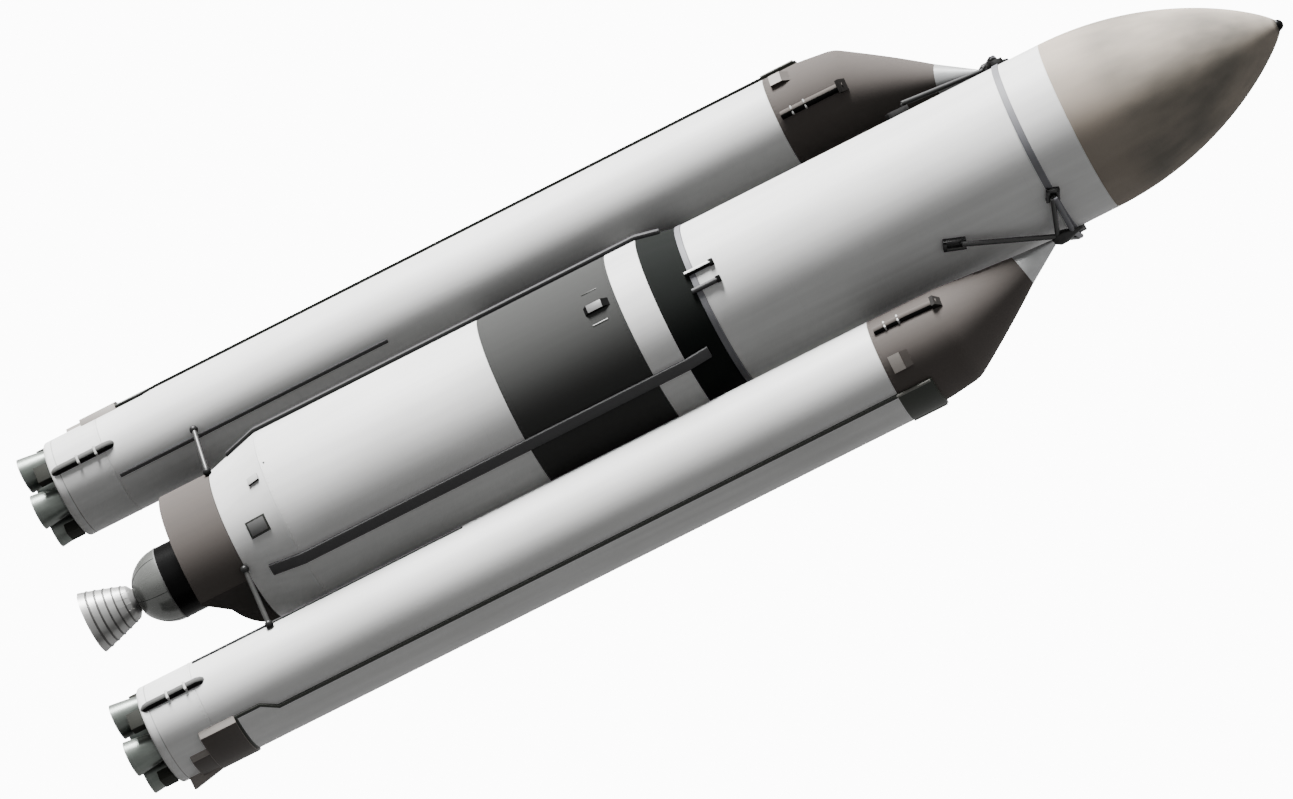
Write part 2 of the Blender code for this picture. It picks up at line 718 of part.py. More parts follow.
    # The body's surface, a little larger, cuts whatever is seated on it
    skin = turned(
        prefix + "skin",
        [
            (0.0, BOOSTER_SHOULDER_Z + 0.05),
            (BOOSTER_RADIUS + SEAT * 1.1, BOOSTER_SHOULDER_Z + 0.05),
            (BOOSTER_RADIUS + SEAT * 1.1, 0.05),
            (0.0, 0.05),
        ],
        BOOSTER_SEGMENTS,
        origin=centre,
    )

    # A long raised panel covers the cables on the outer side and widens at its foot
    panel = turned(
        prefix + "outer_panel",
        [
            (BOOSTER_RADIUS + PANEL_DEPTH, PANEL_TOP_Z),
            (BOOSTER_RADIUS + PANEL_DEPTH, PANEL_FOOT_Z),
            (BOOSTER_RADIUS + SEAT * 1.1, PANEL_FOOT_Z),
            (BOOSTER_RADIUS + SEAT * 1.1, PANEL_TOP_Z),
        ],
        BOOSTER_SEGMENTS,
        WHITE,
        centre,
        closed=True,
    )
    sections = []
    spans = (
        (PANEL_WIDE_ANGLE, PANEL_FOOT_Z - 0.01),
        (PANEL_WIDE_ANGLE, PANEL_STEP_Z[0]),
        (PANEL_ANGLE, PANEL_STEP_Z[1]),
        (PANEL_ANGLE, PANEL_TOP_Z + 0.01),
    )
    for angle, height in spans:
        half = (BOOSTER_RADIUS + PANEL_DEPTH) * math.sin(math.radians(angle))
        corners = ((0.02, -half), (0.30, -half), (0.30, half), (0.02, half))
        sections.append([placed(side, (x, y, height)) for x, y in corners])
    combine(panel, lofted(prefix + "panel_window", sections), "INTERSECT")

    # A stepped tail box stands below the panel, with a wedge beside it
    box_top = PANEL_FOOT_Z - SEAT
    box = arc_block(
        prefix + "tail_box",
        side,
        -38.0,
        38.0,
        22.0,
        ((BOOSTER_RADIUS + 0.022, 0.282), (BOOSTER_RADIUS + 0.022, box_top)),
        TAUPE,
    )
    step = arc_block(
        prefix + "box_step",
        side,
        -17.0,
        17.0,
        19.0,
        ((BOOSTER_RADIUS + 0.018, 0.208), (BOOSTER_RADIUS + 0.018, 0.292)),
    )
    wedge = arc_block(
        prefix + "box_wedge",
        side,
        20.0,
        36.0,
        3.0,
        ((BOOSTER_RADIUS + 0.046, 0.150), (BOOSTER_RADIUS + 0.017, 0.296)),
    )
    combine(box, wedge, "UNION")
    combine(box, step, "UNION")
    combine(box, skin, "DIFFERENCE")

    # Smaller pieces: a pipe on the bay, a rail and a box on the nose, and a thin duct
    for strip_name, angle, (low, high), width, depth, material in SMALL_STRIPS:
        strip(
            prefix + strip_name,
            world_angle(side, angle),
            ((BOOSTER_RADIUS, low), (BOOSTER_RADIUS, high)),
            width,
            depth,
            skin,
            material,
            (side * BOOSTER_X, 0.0),
        )

    # Aft struts lie between the skirt's top edge and the booster, with a ball at each end
    for end, sign in (("front", -1), ("back", 1)):
        core_point = on_side(SKIRT_RADIUS + AFT_BALL_RADIUS + 0.0001, sign * 45.0, AFT_STRUT_Z)
        core_point = (side * core_point[0], core_point[1], core_point[2])
        own = on_side(BOOSTER_RADIUS + AFT_BALL_RADIUS + 0.0001, sign * (180.0 - 55.0), AFT_STRUT_Z)
        booster_point = placed(side, own)
        strut = round_bar(
            f"aft_strut_{letter}_{end}", core_point, booster_point, AFT_STRUT_RADIUS, 12, STEEL
        )
        for number, point in enumerate((core_point, booster_point)):
            knob = ball(f"aft_ball_{letter}_{end}_{number}", point, AFT_BALL_RADIUS)
            combine(strut, knob, "UNION")
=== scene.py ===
# %% [markdown]
# # A space rocket with two strap-on boosters
#
# This lesson dresses the solids of a 1:10 scale rocket so that it looks painted and built. It stands
# on its engine bells, +Z up. The core is in the middle, booster a on the +X side and booster b on the
# -X side. The side that the picture shows faces -Y.
#
# The solids come from the frame. Each one is either kept, with a better material, or replaced by a
# finer piece in the same place.

import json
import math

import bmesh
import bpy
import numpy as np
from mathutils import Matrix, Vector


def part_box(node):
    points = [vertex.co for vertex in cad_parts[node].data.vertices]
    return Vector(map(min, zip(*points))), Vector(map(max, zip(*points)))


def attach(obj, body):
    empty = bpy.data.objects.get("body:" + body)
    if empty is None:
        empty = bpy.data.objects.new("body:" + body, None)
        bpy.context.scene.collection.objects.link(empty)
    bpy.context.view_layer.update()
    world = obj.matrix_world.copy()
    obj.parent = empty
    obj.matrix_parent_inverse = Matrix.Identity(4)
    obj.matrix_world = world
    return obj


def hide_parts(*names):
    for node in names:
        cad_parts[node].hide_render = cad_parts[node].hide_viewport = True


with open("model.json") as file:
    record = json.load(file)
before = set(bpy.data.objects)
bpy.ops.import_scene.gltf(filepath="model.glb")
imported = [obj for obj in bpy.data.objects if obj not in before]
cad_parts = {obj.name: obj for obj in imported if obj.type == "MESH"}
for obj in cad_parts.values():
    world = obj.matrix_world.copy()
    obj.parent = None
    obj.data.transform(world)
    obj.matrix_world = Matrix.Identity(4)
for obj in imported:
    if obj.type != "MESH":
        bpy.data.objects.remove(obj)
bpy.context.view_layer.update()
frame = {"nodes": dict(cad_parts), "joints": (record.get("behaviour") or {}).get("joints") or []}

# %% [markdown]
# ## Driving sizes
#
# The radii and heights are read from the solids themselves, so the fine pieces keep to the frame. A
# helper returns the lowest and highest height of a node, and the core's radii come from its boxes.

# %% Read sizes from the frame
BODY = "airframe"
SIDES = (("a", 1), ("b", -1))


def heights(node):
    """Return a node's lowest and highest height."""
    low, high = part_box(node)
    return low[2], high[2]


def half_width(node):
    """Return half of a node's width in Y."""
    low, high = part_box(node)
    return (high[1] - low[1]) / 2


CORE_RADIUS = half_width("core_lower_tank")
UPPER_RADIUS = half_width("upper_section")
SKIRT_RADIUS = half_width("core_skirt")
BAND_RADIUS = half_width("core_engine_band")
BOOSTER_RADIUS = half_width("booster_a_tank")
BOOSTER_X = sum(v[0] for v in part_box("booster_a_tank")) / 2
print("radii", round(CORE_RADIUS, 4), round(UPPER_RADIUS, 4), round(BOOSTER_RADIUS, 4))
print("booster axis at x", round(BOOSTER_X, 4))

# %% [markdown]
# ## Helpers for meshes
#
# Most of a rocket is turned: tanks, cones, bells and domes. A turned surface is a profile swept
# about an axis, so one helper takes a list of radii and heights, from the top down the outer side.
# Another makes a piece from any lists of points and faces. Both leave the object at the origin, with
# its place in its mesh, as the frame's own pieces have it.


# %% Turn profiles and build meshes
def put_on(piece, body, slot, *replaced):
    """Ride a finished piece on a body and let it replace solids. The slot is not used."""
    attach(piece, body)
    if replaced:
        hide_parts(*replaced)
    return piece


def piece_from(name, points, faces, materials, face_slots=None, sharp=35.0):
    """Make an object from points and faces, with outward normals and sharp edges by angle."""
    mesh = bpy.data.meshes.new(name)
    mesh.from_pydata([tuple(point) for point in points], [], faces)
    for material in materials:
        mesh.materials.append(material)
    if face_slots is not None:
        mesh.polygons.foreach_set("material_index", face_slots)
    work = bmesh.new()
    work.from_mesh(mesh)
    bmesh.ops.recalc_face_normals(work, faces=work.faces)
    work.to_mesh(mesh)
    work.free()
    mesh.shade_smooth()
    mesh.set_sharp_from_angle(angle=math.radians(sharp))
    piece = bpy.data.objects.new(name, mesh)
    bpy.context.scene.collection.objects.link(piece)
    return piece


def turned(name, profile, materials, segments=128, centre=(0.0, 0.0), slot_of=None, sharp=35.0):
    """Turn a profile of (radius, height) points. A radius of zero makes a pole."""
    points = []
    rings = []
    for radius, height in profile:
        if radius < 1e-6:
            rings.append([len(points)] * segments)
            points.append((centre[0], centre[1], height))
            continue
        rings.append(list(range(len(points), len(points) + segments)))
        for i in range(segments):
            turn = math.tau * i / segments
            x = centre[0] + radius * math.cos(turn)
            y = centre[1] + radius * math.sin(turn)
            points.append((x, y, height))
    faces = []
    slots = []
    for row, (upper, lower) in enumerate(zip(rings, rings[1:])):
        for i in range(segments):
            j = (i + 1) % segments
            corners = []
            for corner in (upper[i], upper[j], lower[j], lower[i]):
                if corner not in corners:
                    corners.append(corner)
            faces.append(corners)
            slots.append(slot_of(row) if slot_of else 0)
    return piece_from(name, points, faces, materials, slots, sharp)


def eased(profile, edge):
    """Cut each inner corner of a profile by a small edge, so that it catches light."""
    result = [profile[0]]
    for before, corner, after in zip(profile, profile[1:], profile[2:]):
        here = Vector(corner)
        for neighbour in (before, after):
            way = Vector(neighbour) - here
            step = min(edge, way.length * 0.4)
            result.append(tuple(here + way.normalized() * step))
    result.append(profile[-1])
    return result


def at_angle(radius, angle, height, centre=(0.0, 0.0)):
    """Return the point at a radius and an angle in degrees about an upright axis."""
    turn = math.radians(angle)
    x = centre[0] + radius * math.cos(turn)
    y = centre[1] + radius * math.sin(turn)
    return Vector((x, y, height))


def mirrored_angle(side, angle):
    """Return the world angle for an angle from a booster's outward direction."""
    return angle if side > 0 else 180.0 - angle


# %% [markdown]
# ## Shader groups
#
# Paint on a large vehicle is never one flat colour: it has a soft mottle where panels took the
# coat differently, long faint streaks from handling and weather, and a fine grain. Several materials
# share these effects, so each effect is a node group with named inputs. A material places the group
# with its own values and feeds the outputs to its own shader.


# %% Build the shared shader groups
def new_group(name, inputs, outputs):
    """Make an empty shader group with named sockets and return its parts."""
    group = bpy.data.node_groups.new(name, "ShaderNodeTree")
    for socket_name, kind, value in inputs:
        socket = group.interface.new_socket(socket_name, in_out="INPUT", socket_type=kind)
        socket.default_value = value
    for socket_name, kind in outputs:
        group.interface.new_socket(socket_name, in_out="OUTPUT", socket_type=kind)
    source = group.nodes.new("NodeGroupInput")
    target = group.nodes.new("NodeGroupOutput")
    return group, source, target


def maths(tree, operation, first, second=None, third=None, clamp=False):
    """Add a maths node to a tree. Each value is a number or a socket."""
    node = tree.nodes.new("ShaderNodeMath")
    node.operation = operation
    node.use_clamp = clamp
    for index, value in enumerate((first, second, third)):
        if value is None:
            continue
        if isinstance(value, (int, float)):
            node.inputs[index].default_value = value
        else:
            tree.links.new(value, node.inputs[index])
    return node.outputs[0]


def blended(tree, share, first, second):
    """Mix two colours by a share. Each colour is a tuple or a socket."""
    node = tree.nodes.new("ShaderNodeMix")
    node.data_type = "RGBA"
    for socket, value in ((node.inputs[0], share), (node.inputs[6], first), (node.inputs[7], second)):
        if isinstance(value, tuple):
            socket.default_value = (*value, 1.0)
        elif isinstance(value, (int, float)):
            socket.default_value = value
        else:
            tree.links.new(value, socket)
    return node.outputs[2]


def stretched_noise(tree, scale, stretch, detail=3.0, shift=0.0):
    """Add noise in the piece's own coordinates, drawn out along Z by the stretch."""
    place = tree.nodes.new("ShaderNodeTexCoord")
    split = tree.nodes.new("ShaderNodeSeparateXYZ")
    join = tree.nodes.new("ShaderNodeCombineXYZ")
    noise = tree.nodes.new("ShaderNodeTexNoise")
    tree.links.new(place.outputs["Object"], split.inputs[0])
    tree.links.new(maths(tree, "ADD", split.outputs[0], shift), join.inputs[0])
    tree.links.new(split.outputs[1], join.inputs[1])
    tree.links.new(maths(tree, "DIVIDE", split.outputs[2], stretch), join.inputs[2])
    tree.links.new(join.outputs[0], noise.inputs["Vector"])
    noise.inputs["Detail"].default_value = detail
    if isinstance(scale, (int, float)):
        noise.inputs["Scale"].default_value = scale
    else:
        tree.links.new(scale, noise.inputs["Scale"])
    return noise.outputs[0]


def spread(tree, value, low, high):
    """Stretch the middle of a noise value, from low to high, over zero to one."""
    node = tree.nodes.new("ShaderNodeMapRange")
    node.inputs["From Min"].default_value = low
    node.inputs["From Max"].default_value = high
    tree.links.new(value, node.inputs["Value"])
    return node.outputs["Result"]


def painted_skin_group():
    """Mottle, streaks and grain of a painted skin."""
    group, source, target = new_group(
        "painted skin",
        (
            ("Mottle Scale", "NodeSocketFloat", 4.0),
            ("Streak Scale", "NodeSocketFloat", 30.0),
            ("Streak Share", "NodeSocketFloat", 0.4),
        ),
        (
            ("Tone", "NodeSocketFloat"),
            ("Gloss", "NodeSocketFloat"),
            ("Grain", "NodeSocketFloat"),
        ),
    )
    mottle = spread(group, stretched_noise(group, source.outputs["Mottle Scale"], 2.5), 0.32, 0.68)
    streak_noise = stretched_noise(group, source.outputs["Streak Scale"], 22.0, 4.0, 3.7)
    streak = spread(group, streak_noise, 0.35, 0.68)
    kept = maths(group, "SUBTRACT", 1.0, source.outputs["Streak Share"])
    calm = maths(group, "MULTIPLY", mottle, kept)
    drawn = maths(group, "MULTIPLY", streak, source.outputs["Streak Share"])
    tone = maths(group, "ADD", calm, drawn, clamp=True)
    grain = stretched_noise(group, 420.0, 1.0, 2.0)
    gloss = maths(group, "ADD", maths(group, "MULTIPLY", tone, 0.6), maths(group, "MULTIPLY", grain, 0.4))
    group.links.new(tone, target.inputs["Tone"])
    group.links.new(gloss, target.inputs["Gloss"])
    group.links.new(grain, target.inputs["Grain"])
    return group


def height_band_group():
    """A mask that is one between two heights, with soft ends."""
    group, source, target = new_group(
        "height band",
        (
            ("Low", "NodeSocketFloat", 0.0),
            ("High", "NodeSocketFloat", 1.0),
            ("Soft", "NodeSocketFloat", 0.01),
        ),
        (("Mask", "NodeSocketFloat"),),
    )
    place = group.nodes.new("ShaderNodeTexCoord")
    split = group.nodes.new("ShaderNodeSeparateXYZ")
    group.links.new(place.outputs["Object"], split.inputs[0])
    height = split.outputs[2]
    rise = maths(group, "SUBTRACT", height, source.outputs["Low"])
    rise = maths(group, "DIVIDE", rise, source.outputs["Soft"], clamp=True)
    fall = maths(group, "SUBTRACT", source.outputs["High"], height)
    fall = maths(group, "DIVIDE", fall, source.outputs["Soft"], clamp=True)
    group.links.new(maths(group, "MULTIPLY", rise, fall), target.inputs["Mask"])
    return group


def ring_seam_group():
    """Fine weld seams around a body, at even heights."""
    group, source, target = new_group(
        "ring seams",
        (
            ("Spacing", "NodeSocketFloat", 0.3),
            ("Start", "NodeSocketFloat", 0.0),
            ("Width", "NodeSocketFloat", 0.002),
        ),
        (("Mask", "NodeSocketFloat"),),
    )
    place = group.nodes.new("ShaderNodeTexCoord")
    split = group.nodes.new("ShaderNodeSeparateXYZ")
    group.links.new(place.outputs["Object"], split.inputs[0])
    height = maths(group, "SUBTRACT", split.outputs[2], source.outputs["Start"])
    cell = maths(group, "DIVIDE", height, source.outputs["Spacing"])
    part = maths(group, "FRACT", cell)
    centred = maths(group, "ABSOLUTE", maths(group, "SUBTRACT", part, 0.5))
    away = maths(group, "MULTIPLY", centred, source.outputs["Spacing"])
    seam = maths(group, "DIVIDE", away, source.outputs["Width"])
    seam = maths(group, "SUBTRACT", 1.0, seam, clamp=True)
    group.links.new(seam, target.inputs["Mask"])
    return group


PAINTED_SKIN = painted_skin_group()
HEIGHT_BAND = height_band_group()
RING_SEAMS = ring_seam_group()
print("shader groups:", PAINTED_SKIN.name, HEIGHT_BAND.name, RING_SEAMS.name)

# %% [markdown]
# ## Paint finishes
#
# The real vehicle is white where it holds cold propellant, brown-grey where bare heat-proof paint
# shows at the tail and the boosters' noses, and nearly black at the interstage. One function makes
# all of these: two close tones of a colour, mixed by the mottle and streaks, a gloss that follows
# them, and a bump of fine grain. Extra marks, such as weld seams, darker bands and a line of
# painted shade, are mixed over the colour.


# %% Make a painted material
def group_in(tree, group, **values):
    """Place a shader group in a material and set its inputs."""
    node = tree.nodes.new("ShaderNodeGroup")
    node.node_tree = group
    for name, value in values.items():
        node.inputs[name.replace("_", " ")].default_value = value
    return node


def painted(
    name,
    tone_a,
    tone_b,
    rough=(0.32, 0.5),
    mottle=4.0,
    streak=30.0,
    streaks=0.4,
    metallic=0.0,
    seams=None,
    seam_depth=0.5,
    coat=0.0,
    bump=0.15,
    bands=(),
    specular=0.3,
):
    """Make a paint of two close tones. Bands are (low, high, soft, strength, colour)."""
    material = bpy.data.materials.new(name)
    material.use_nodes = True
    tree = material.node_tree
    shader = tree.nodes["Principled BSDF"]
    shader.inputs["Metallic"].default_value = metallic
    shader.inputs["Coat Weight"].default_value = coat
    shader.inputs["Specular IOR Level"].default_value = specular
    skin = group_in(
        tree, PAINTED_SKIN, Mottle_Scale=mottle, Streak_Scale=streak, Streak_Share=streaks
    )
    color = blended(tree, skin.outputs["Tone"], tone_a, tone_b)
    height = skin.outputs["Grain"]
    if seams is not None:
        spacing, start, width = seams
        seam = group_in(tree, RING_SEAMS, Spacing=spacing, Start=start, Width=width)
        shaded = maths(tree, "MULTIPLY", seam.outputs["Mask"], seam_depth)
        dark = tuple(0.45 * value for value in tone_b)
        color = blended(tree, shaded, color, dark)
        lowered = maths(tree, "MULTIPLY", seam.outputs["Mask"], -2.0)
        height = maths(tree, "ADD", height, lowered)
    for low, high, soft, strength, band_color in bands:
        band = group_in(tree, HEIGHT_BAND, Low=low, High=high, Soft=soft)
        broken = maths(tree, "MULTIPLY_ADD", skin.outputs["Tone"], -0.5, 1.0)
        share = maths(tree, "MULTIPLY", band.outputs["Mask"], broken)
        share = maths(tree, "MULTIPLY", share, strength, clamp=True)
        color = blended(tree, share, color, band_color)
    tree.links.new(color, shader.inputs["Base Color"])
    change = rough[1] - rough[0]
    gloss = maths(tree, "MULTIPLY_ADD", skin.outputs["Gloss"], change, rough[0])
    tree.links.new(gloss, shader.inputs["Roughness"])
    relief = tree.nodes.new("ShaderNodeBump")
    relief.inputs["Strength"].default_value = bump
    relief.inputs["Distance"].default_value = 0.0006
    tree.links.new(height, relief.inputs["Height"])
    tree.links.new(relief.outputs[0], shader.inputs["Normal"])
    return material


BAY_DARK_TONE = (0.10, 0.095, 0.09)
WHITE = ((0.70, 0.70, 0.69), (0.88, 0.88, 0.87))
white_paint = painted(
    "white paint", *WHITE, mottle=3.2, streaks=0.3, seams=(0.3165, 0.0, 0.0012), seam_depth=0.10
)
bay_low, bay_high = heights("booster_a_tail_bay")
# The first band darkens the tail bay towards its rim. The second is a thin dark line that paints in the shade of
# a groove above the rim: painted shade.
bay_paint = painted(
    "tail bay white",
    *WHITE,
    bands=(
        (bay_low - 0.02, bay_low + 0.02, 0.03, 0.45, BAY_DARK_TONE),
        (bay_low + 0.032, bay_low + 0.038, 0.002, 0.7, BAY_DARK_TONE),
    ),
)
grey_paint = painted(
    "intertank grey",
    (0.029, 0.0295, 0.028),
    (0.039, 0.0395, 0.038),
    (0.85, 0.98),
    seams=(0.5377, 0.0, 0.0012),
    specular=0.4,
)
taupe_paint = painted(
    "brown heat paint", (0.062, 0.052, 0.046), (0.080, 0.069, 0.062), (0.85, 0.98), specular=0.6
)
dark_paint = painted(
    "interstage black green", (0.003, 0.004, 0.0034), (0.005, 0.0064, 0.0054), (0.85, 0.98), specular=0.16
)
slate_paint = painted("slate ring paint", (0.16, 0.16, 0.174), (0.20, 0.20, 0.216), (0.5, 0.65), specular=0.4)
fairing_low, fairing_high = heights("nose_fairing")
beige_paint = painted(
    "fairing beige",
    (0.135, 0.127, 0.113),
    (0.44, 0.385, 0.325),
    (0.65, 0.85),
    mottle=4.2,
    streak=14.0,
    streaks=0.2,
    bands=(
        (fairing_low - 0.1, fairing_low + 0.22, 0.22, 0.75, (0.60, 0.505, 0.42)),
        (fairing_high - 0.036, fairing_high + 0.05, 0.016, 1.6, (0.012, 0.012, 0.012)),
    ),
    specular=0.15,
)
dome_paint = painted(
    "dome grey", (0.14, 0.144, 0.136), (0.19, 0.195, 0.185), (0.2, 0.34), metallic=0.4, coat=0.4
)
black_paint = painted("gloss black", (0.004, 0.004, 0.004), (0.007, 0.007, 0.007), (0.2, 0.3), specular=0.05)
duct_paint = painted("duct grey black", (0.045, 0.045, 0.046), (0.062, 0.062, 0.064), (0.5, 0.65), specular=0.4)
line_paint = painted("edge line", (0.018, 0.020, 0.016), (0.026, 0.028, 0.024), (0.4, 0.5))
box_paint = painted("tail box brown", (0.048, 0.041, 0.036), (0.064, 0.055, 0.049), (0.4, 0.6))
# A lighter tan for faces that catch the light: painted light.
painted_light_tan = painted("light face tan", (0.26, 0.238, 0.22), (0.33, 0.305, 0.283), (0.5, 0.7))
hatch_paint = painted("hatch grey", (0.12, 0.12, 0.119), (0.15, 0.15, 0.148), (0.4, 0.55))
rail_paint = painted("rail brown black", (0.012, 0.011, 0.010), (0.018, 0.016, 0.015), (0.6, 0.8), specular=0.1)
pipe_paint = painted("pipe grey", (0.075, 0.075, 0.073), (0.10, 0.10, 0.097), (0.6, 0.8), specular=0.3)
strut_paint = painted("strut dark grey", (0.030, 0.030, 0.030), (0.045, 0.045, 0.045), (0.3, 0.45), coat=0.15)
leg_paint = painted("leg grey green", (0.013, 0.0136, 0.011), (0.022, 0.023, 0.0185), (0.7, 0.85), specular=0.2)
print("painted finishes made")

# %% [markdown]
# ## Metal finishes
#
# Bells, struts and tips are bare metal. Metal shows its shape by reflections, so its tone changes
# less than its roughness, and the booster bells are darker between two heights. The same
# painted-skin group gives the brushed streaks, with a high metallic value on the shader's own socket.

# %% Make the metals
nozzle_metal = painted(
    "bell green grey",
    (0.105, 0.12, 0.108),
    (0.19, 0.208, 0.19),
    (0.28, 0.45),
    mottle=14.0,
    streak=40.0,
    metallic=0.55,
    bump=0.08,
    bands=((0.075, 0.20, 0.04, 0.6, (0.07, 0.08, 0.073)),),
)
nozzle_inside = painted("bell inside", (0.03, 0.03, 0.03), (0.055, 0.052, 0.05), (0.5, 0.7), metallic=0.3)
lip_metal = painted(
    "bell lip", (0.17, 0.19, 0.178), (0.24, 0.262, 0.248), (0.28, 0.4), metallic=0.6, streaks=0.7
)
core_bell_metal = painted(
    "core bell silver",
    (0.30, 0.30, 0.293),
    (0.45, 0.45, 0.44),
    (0.34, 0.5),
    mottle=16.0,
    metallic=0.55,
    bump=0.08,
)
hoop_metal = painted("hoop grey", (0.075, 0.075, 0.073), (0.12, 0.12, 0.117), (0.35, 0.5), metallic=0.4)
silver_metal = painted(
    "silver tip", (0.34, 0.345, 0.345), (0.46, 0.465, 0.465), (0.34, 0.48), metallic=0.45, streaks=0.7
)
strut_metal = painted("strut grey", (0.060, 0.060, 0.059), (0.095, 0.095, 0.092), (0.3, 0.45), metallic=0.3)
dark_steel = painted("dark steel", (0.014, 0.014, 0.014), (0.026, 0.026, 0.026), (0.35, 0.5), metallic=0.3)
clamp_metal = painted("clamp white", (0.50, 0.50, 0.49), (0.60, 0.60, 0.59), (0.35, 0.5))
print("metal finishes made")

# %% [markdown]
# ## The core's stack
#
# The core is a stack of barrels and cones. Each section here is a turned piece with its edges eased
# by a millimetre or two, so that the joints show as the fine lines that real flanges leave. A table
# lists them with the radii at their foot and head.

# %% Turn the core's sections
EASE = 0.0016
core_sections = (
    ("core_tail_cone", SKIRT_RADIUS, CORE_RADIUS, white_paint, "white_paint"),
    ("core_lower_tank", CORE_RADIUS, CORE_RADIUS, white_paint, "white_paint"),
    ("core_intertank", CORE_RADIUS, CORE_RADIUS, grey_paint, "grey_paint"),
    ("core_upper_tank", CORE_RADIUS, CORE_RADIUS, white_paint, "white_paint"),
    ("core_interstage", CORE_RADIUS, UPPER_RADIUS, dark_paint, "dark_paint"),
    ("trim_ring", UPPER_RADIUS + 0.003, UPPER_RADIUS + 0.003, slate_paint, "slate_paint"),
    ("upper_section", UPPER_RADIUS, UPPER_RADIUS, white_paint, "white_paint"),
    ("core_engine_band", BAND_RADIUS, BAND_RADIUS, black_paint, "black_paint"),
)
for node, low_radius, high_radius, paint, slot in core_sections:
    low, high = heights(node)
    profile = [(0.0, high), (high_radius, high), (low_radius, low), (0.0, low)]
    skin = turned(node + "_skin", eased(profile, EASE), [paint], 192)
    put_on(skin, BODY, slot, node)
print(len(core_sections), "core sections turned")

# %% [markdown]
# ## The nose fairing, by rule
#
# The fairing's radius follows one rule: at a share x of its length it is a power of one minus x
# squared, so it starts upright at the base and closes bluntly to a small round tip. A shape that
# follows a rule suits Geometry Nodes. The tree takes a plain cylinder mesh and moves each point to
# the radius that the rule gives at its height. The sizes are the tree's named inputs.


# %% Grow the fairing with Geometry Nodes
def new_tree(name, inputs):
    """Make an empty geometry tree with named inputs."""
    tree = bpy.data.node_groups.new(name, "GeometryNodeTree")
    kinds = {float: "NodeSocketFloat", int: "NodeSocketInt"}
    for socket_name, value in inputs.items():
        kind = kinds.get(type(value), "NodeSocketMaterial")
        socket = tree.interface.new_socket(socket_name, in_out="INPUT", socket_type=kind)
        if kind != "NodeSocketMaterial":
            socket.default_value = value
    tree.interface.new_socket("Geometry", in_out="OUTPUT", socket_type="NodeSocketGeometry")
    return tree, tree.nodes.new("NodeGroupInput"), tree.nodes.new("NodeGroupOutput")


def close_tree(tree, source, target, geometry):
    """End a tree in real geometry with its material."""
    realize = tree.nodes.new("GeometryNodeRealizeInstances")
    dress = tree.nodes.new("GeometryNodeSetMaterial")
    tree.links.new(geometry, realize.inputs[0])
    tree.links.new(realize.outputs[0], dress.inputs["Geometry"])
    tree.links.new(source.outputs["Material"], dress.inputs["Material"])
    tree.links.new(dress.outputs[0], target.inputs[0])


def grown(name, tree, values, sharp=35.0):
    """Evaluate a tree with its inputs set, and return the result as a plain mesh object."""
    holder = bpy.data.objects.new(name, bpy.data.meshes.new(name + " base"))
    bpy.context.scene.collection.objects.link(holder)
    modifier = holder.modifiers.new("grow", "NODES")
    modifier.node_group = tree
    for item in tree.interface.items_tree:
        if item.in_out == "INPUT" and item.name in values:
            modifier[item.identifier] = values[item.name]
    bpy.context.view_layer.update()
    evaluated = holder.evaluated_get(bpy.context.evaluated_depsgraph_get())
    mesh = bpy.data.meshes.new_from_object(evaluated)
    holder.modifiers.clear()
    holder.data = mesh
    mesh.name = name
    mesh.shade_smooth()
    mesh.set_sharp_from_angle(angle=math.radians(sharp))
    return holder


def fairing_tree():
    """A body of revolution whose radius closes with a power of one minus the share squared."""
    tree, source, target = new_tree(
        "pointed fairing",
        {
            "Base Radius": 0.3,
            "Tip Radius": 0.02,
            "Foot": 0.0,
            "Length": 1.0,
            "Power": 0.86,
            "Rings": 60,
            "Segments": 160,
            "Material": None,
        },
    )
    get = source.outputs
    shell = tree.nodes.new("GeometryNodeMeshCylinder")
    shell.fill_type = "TRIANGLE_FAN"
    tree.links.new(get["Segments"], shell.inputs["Vertices"])
    tree.links.new(get["Rings"], shell.inputs["Side Segments"])
    tree.links.new(get["Base Radius"], shell.inputs["Radius"])
    tree.links.new(get["Length"], shell.inputs["Depth"])
    place = tree.nodes.new("GeometryNodeInputPosition")
    split = tree.nodes.new("ShaderNodeSeparateXYZ")
    tree.links.new(place.outputs[0], split.inputs[0])
    share = maths(tree, "DIVIDE", split.outputs[2], get["Length"])
    share = maths(tree, "ADD", share, 0.5, clamp=True)
    left = maths(tree, "SUBTRACT", 1.0, share, clamp=True)
    rise = maths(tree, "SUBTRACT", 1.0, maths(tree, "POWER", left, 1.5))
    height = maths(tree, "MULTIPLY_ADD", rise, get["Length"], get["Foot"])
    fall = maths(tree, "SUBTRACT", 1.0, maths(tree, "MULTIPLY", rise, rise), clamp=True)
    width = maths(tree, "POWER", fall, get["Power"])
    span = maths(tree, "SUBTRACT", get["Base Radius"], get["Tip Radius"])
    radius = maths(tree, "MULTIPLY_ADD", span, width, get["Tip Radius"])
    factor = maths(tree, "DIVIDE", radius, get["Base Radius"])
    join = tree.nodes.new("ShaderNodeCombineXYZ")
    tree.links.new(maths(tree, "MULTIPLY", split.outputs[0], factor), join.inputs[0])
    tree.links.new(maths(tree, "MULTIPLY", split.outputs[1], factor), join.inputs[1])
    tree.links.new(height, join.inputs[2])
    move = tree.nodes.new("GeometryNodeSetPosition")
    tree.links.new(shell.outputs["Mesh"], move.inputs["Geometry"])
    tree.links.new(join.outputs[0], move.inputs["Position"])
    close_tree(tree, source, target, move.outputs[0])
    return tree


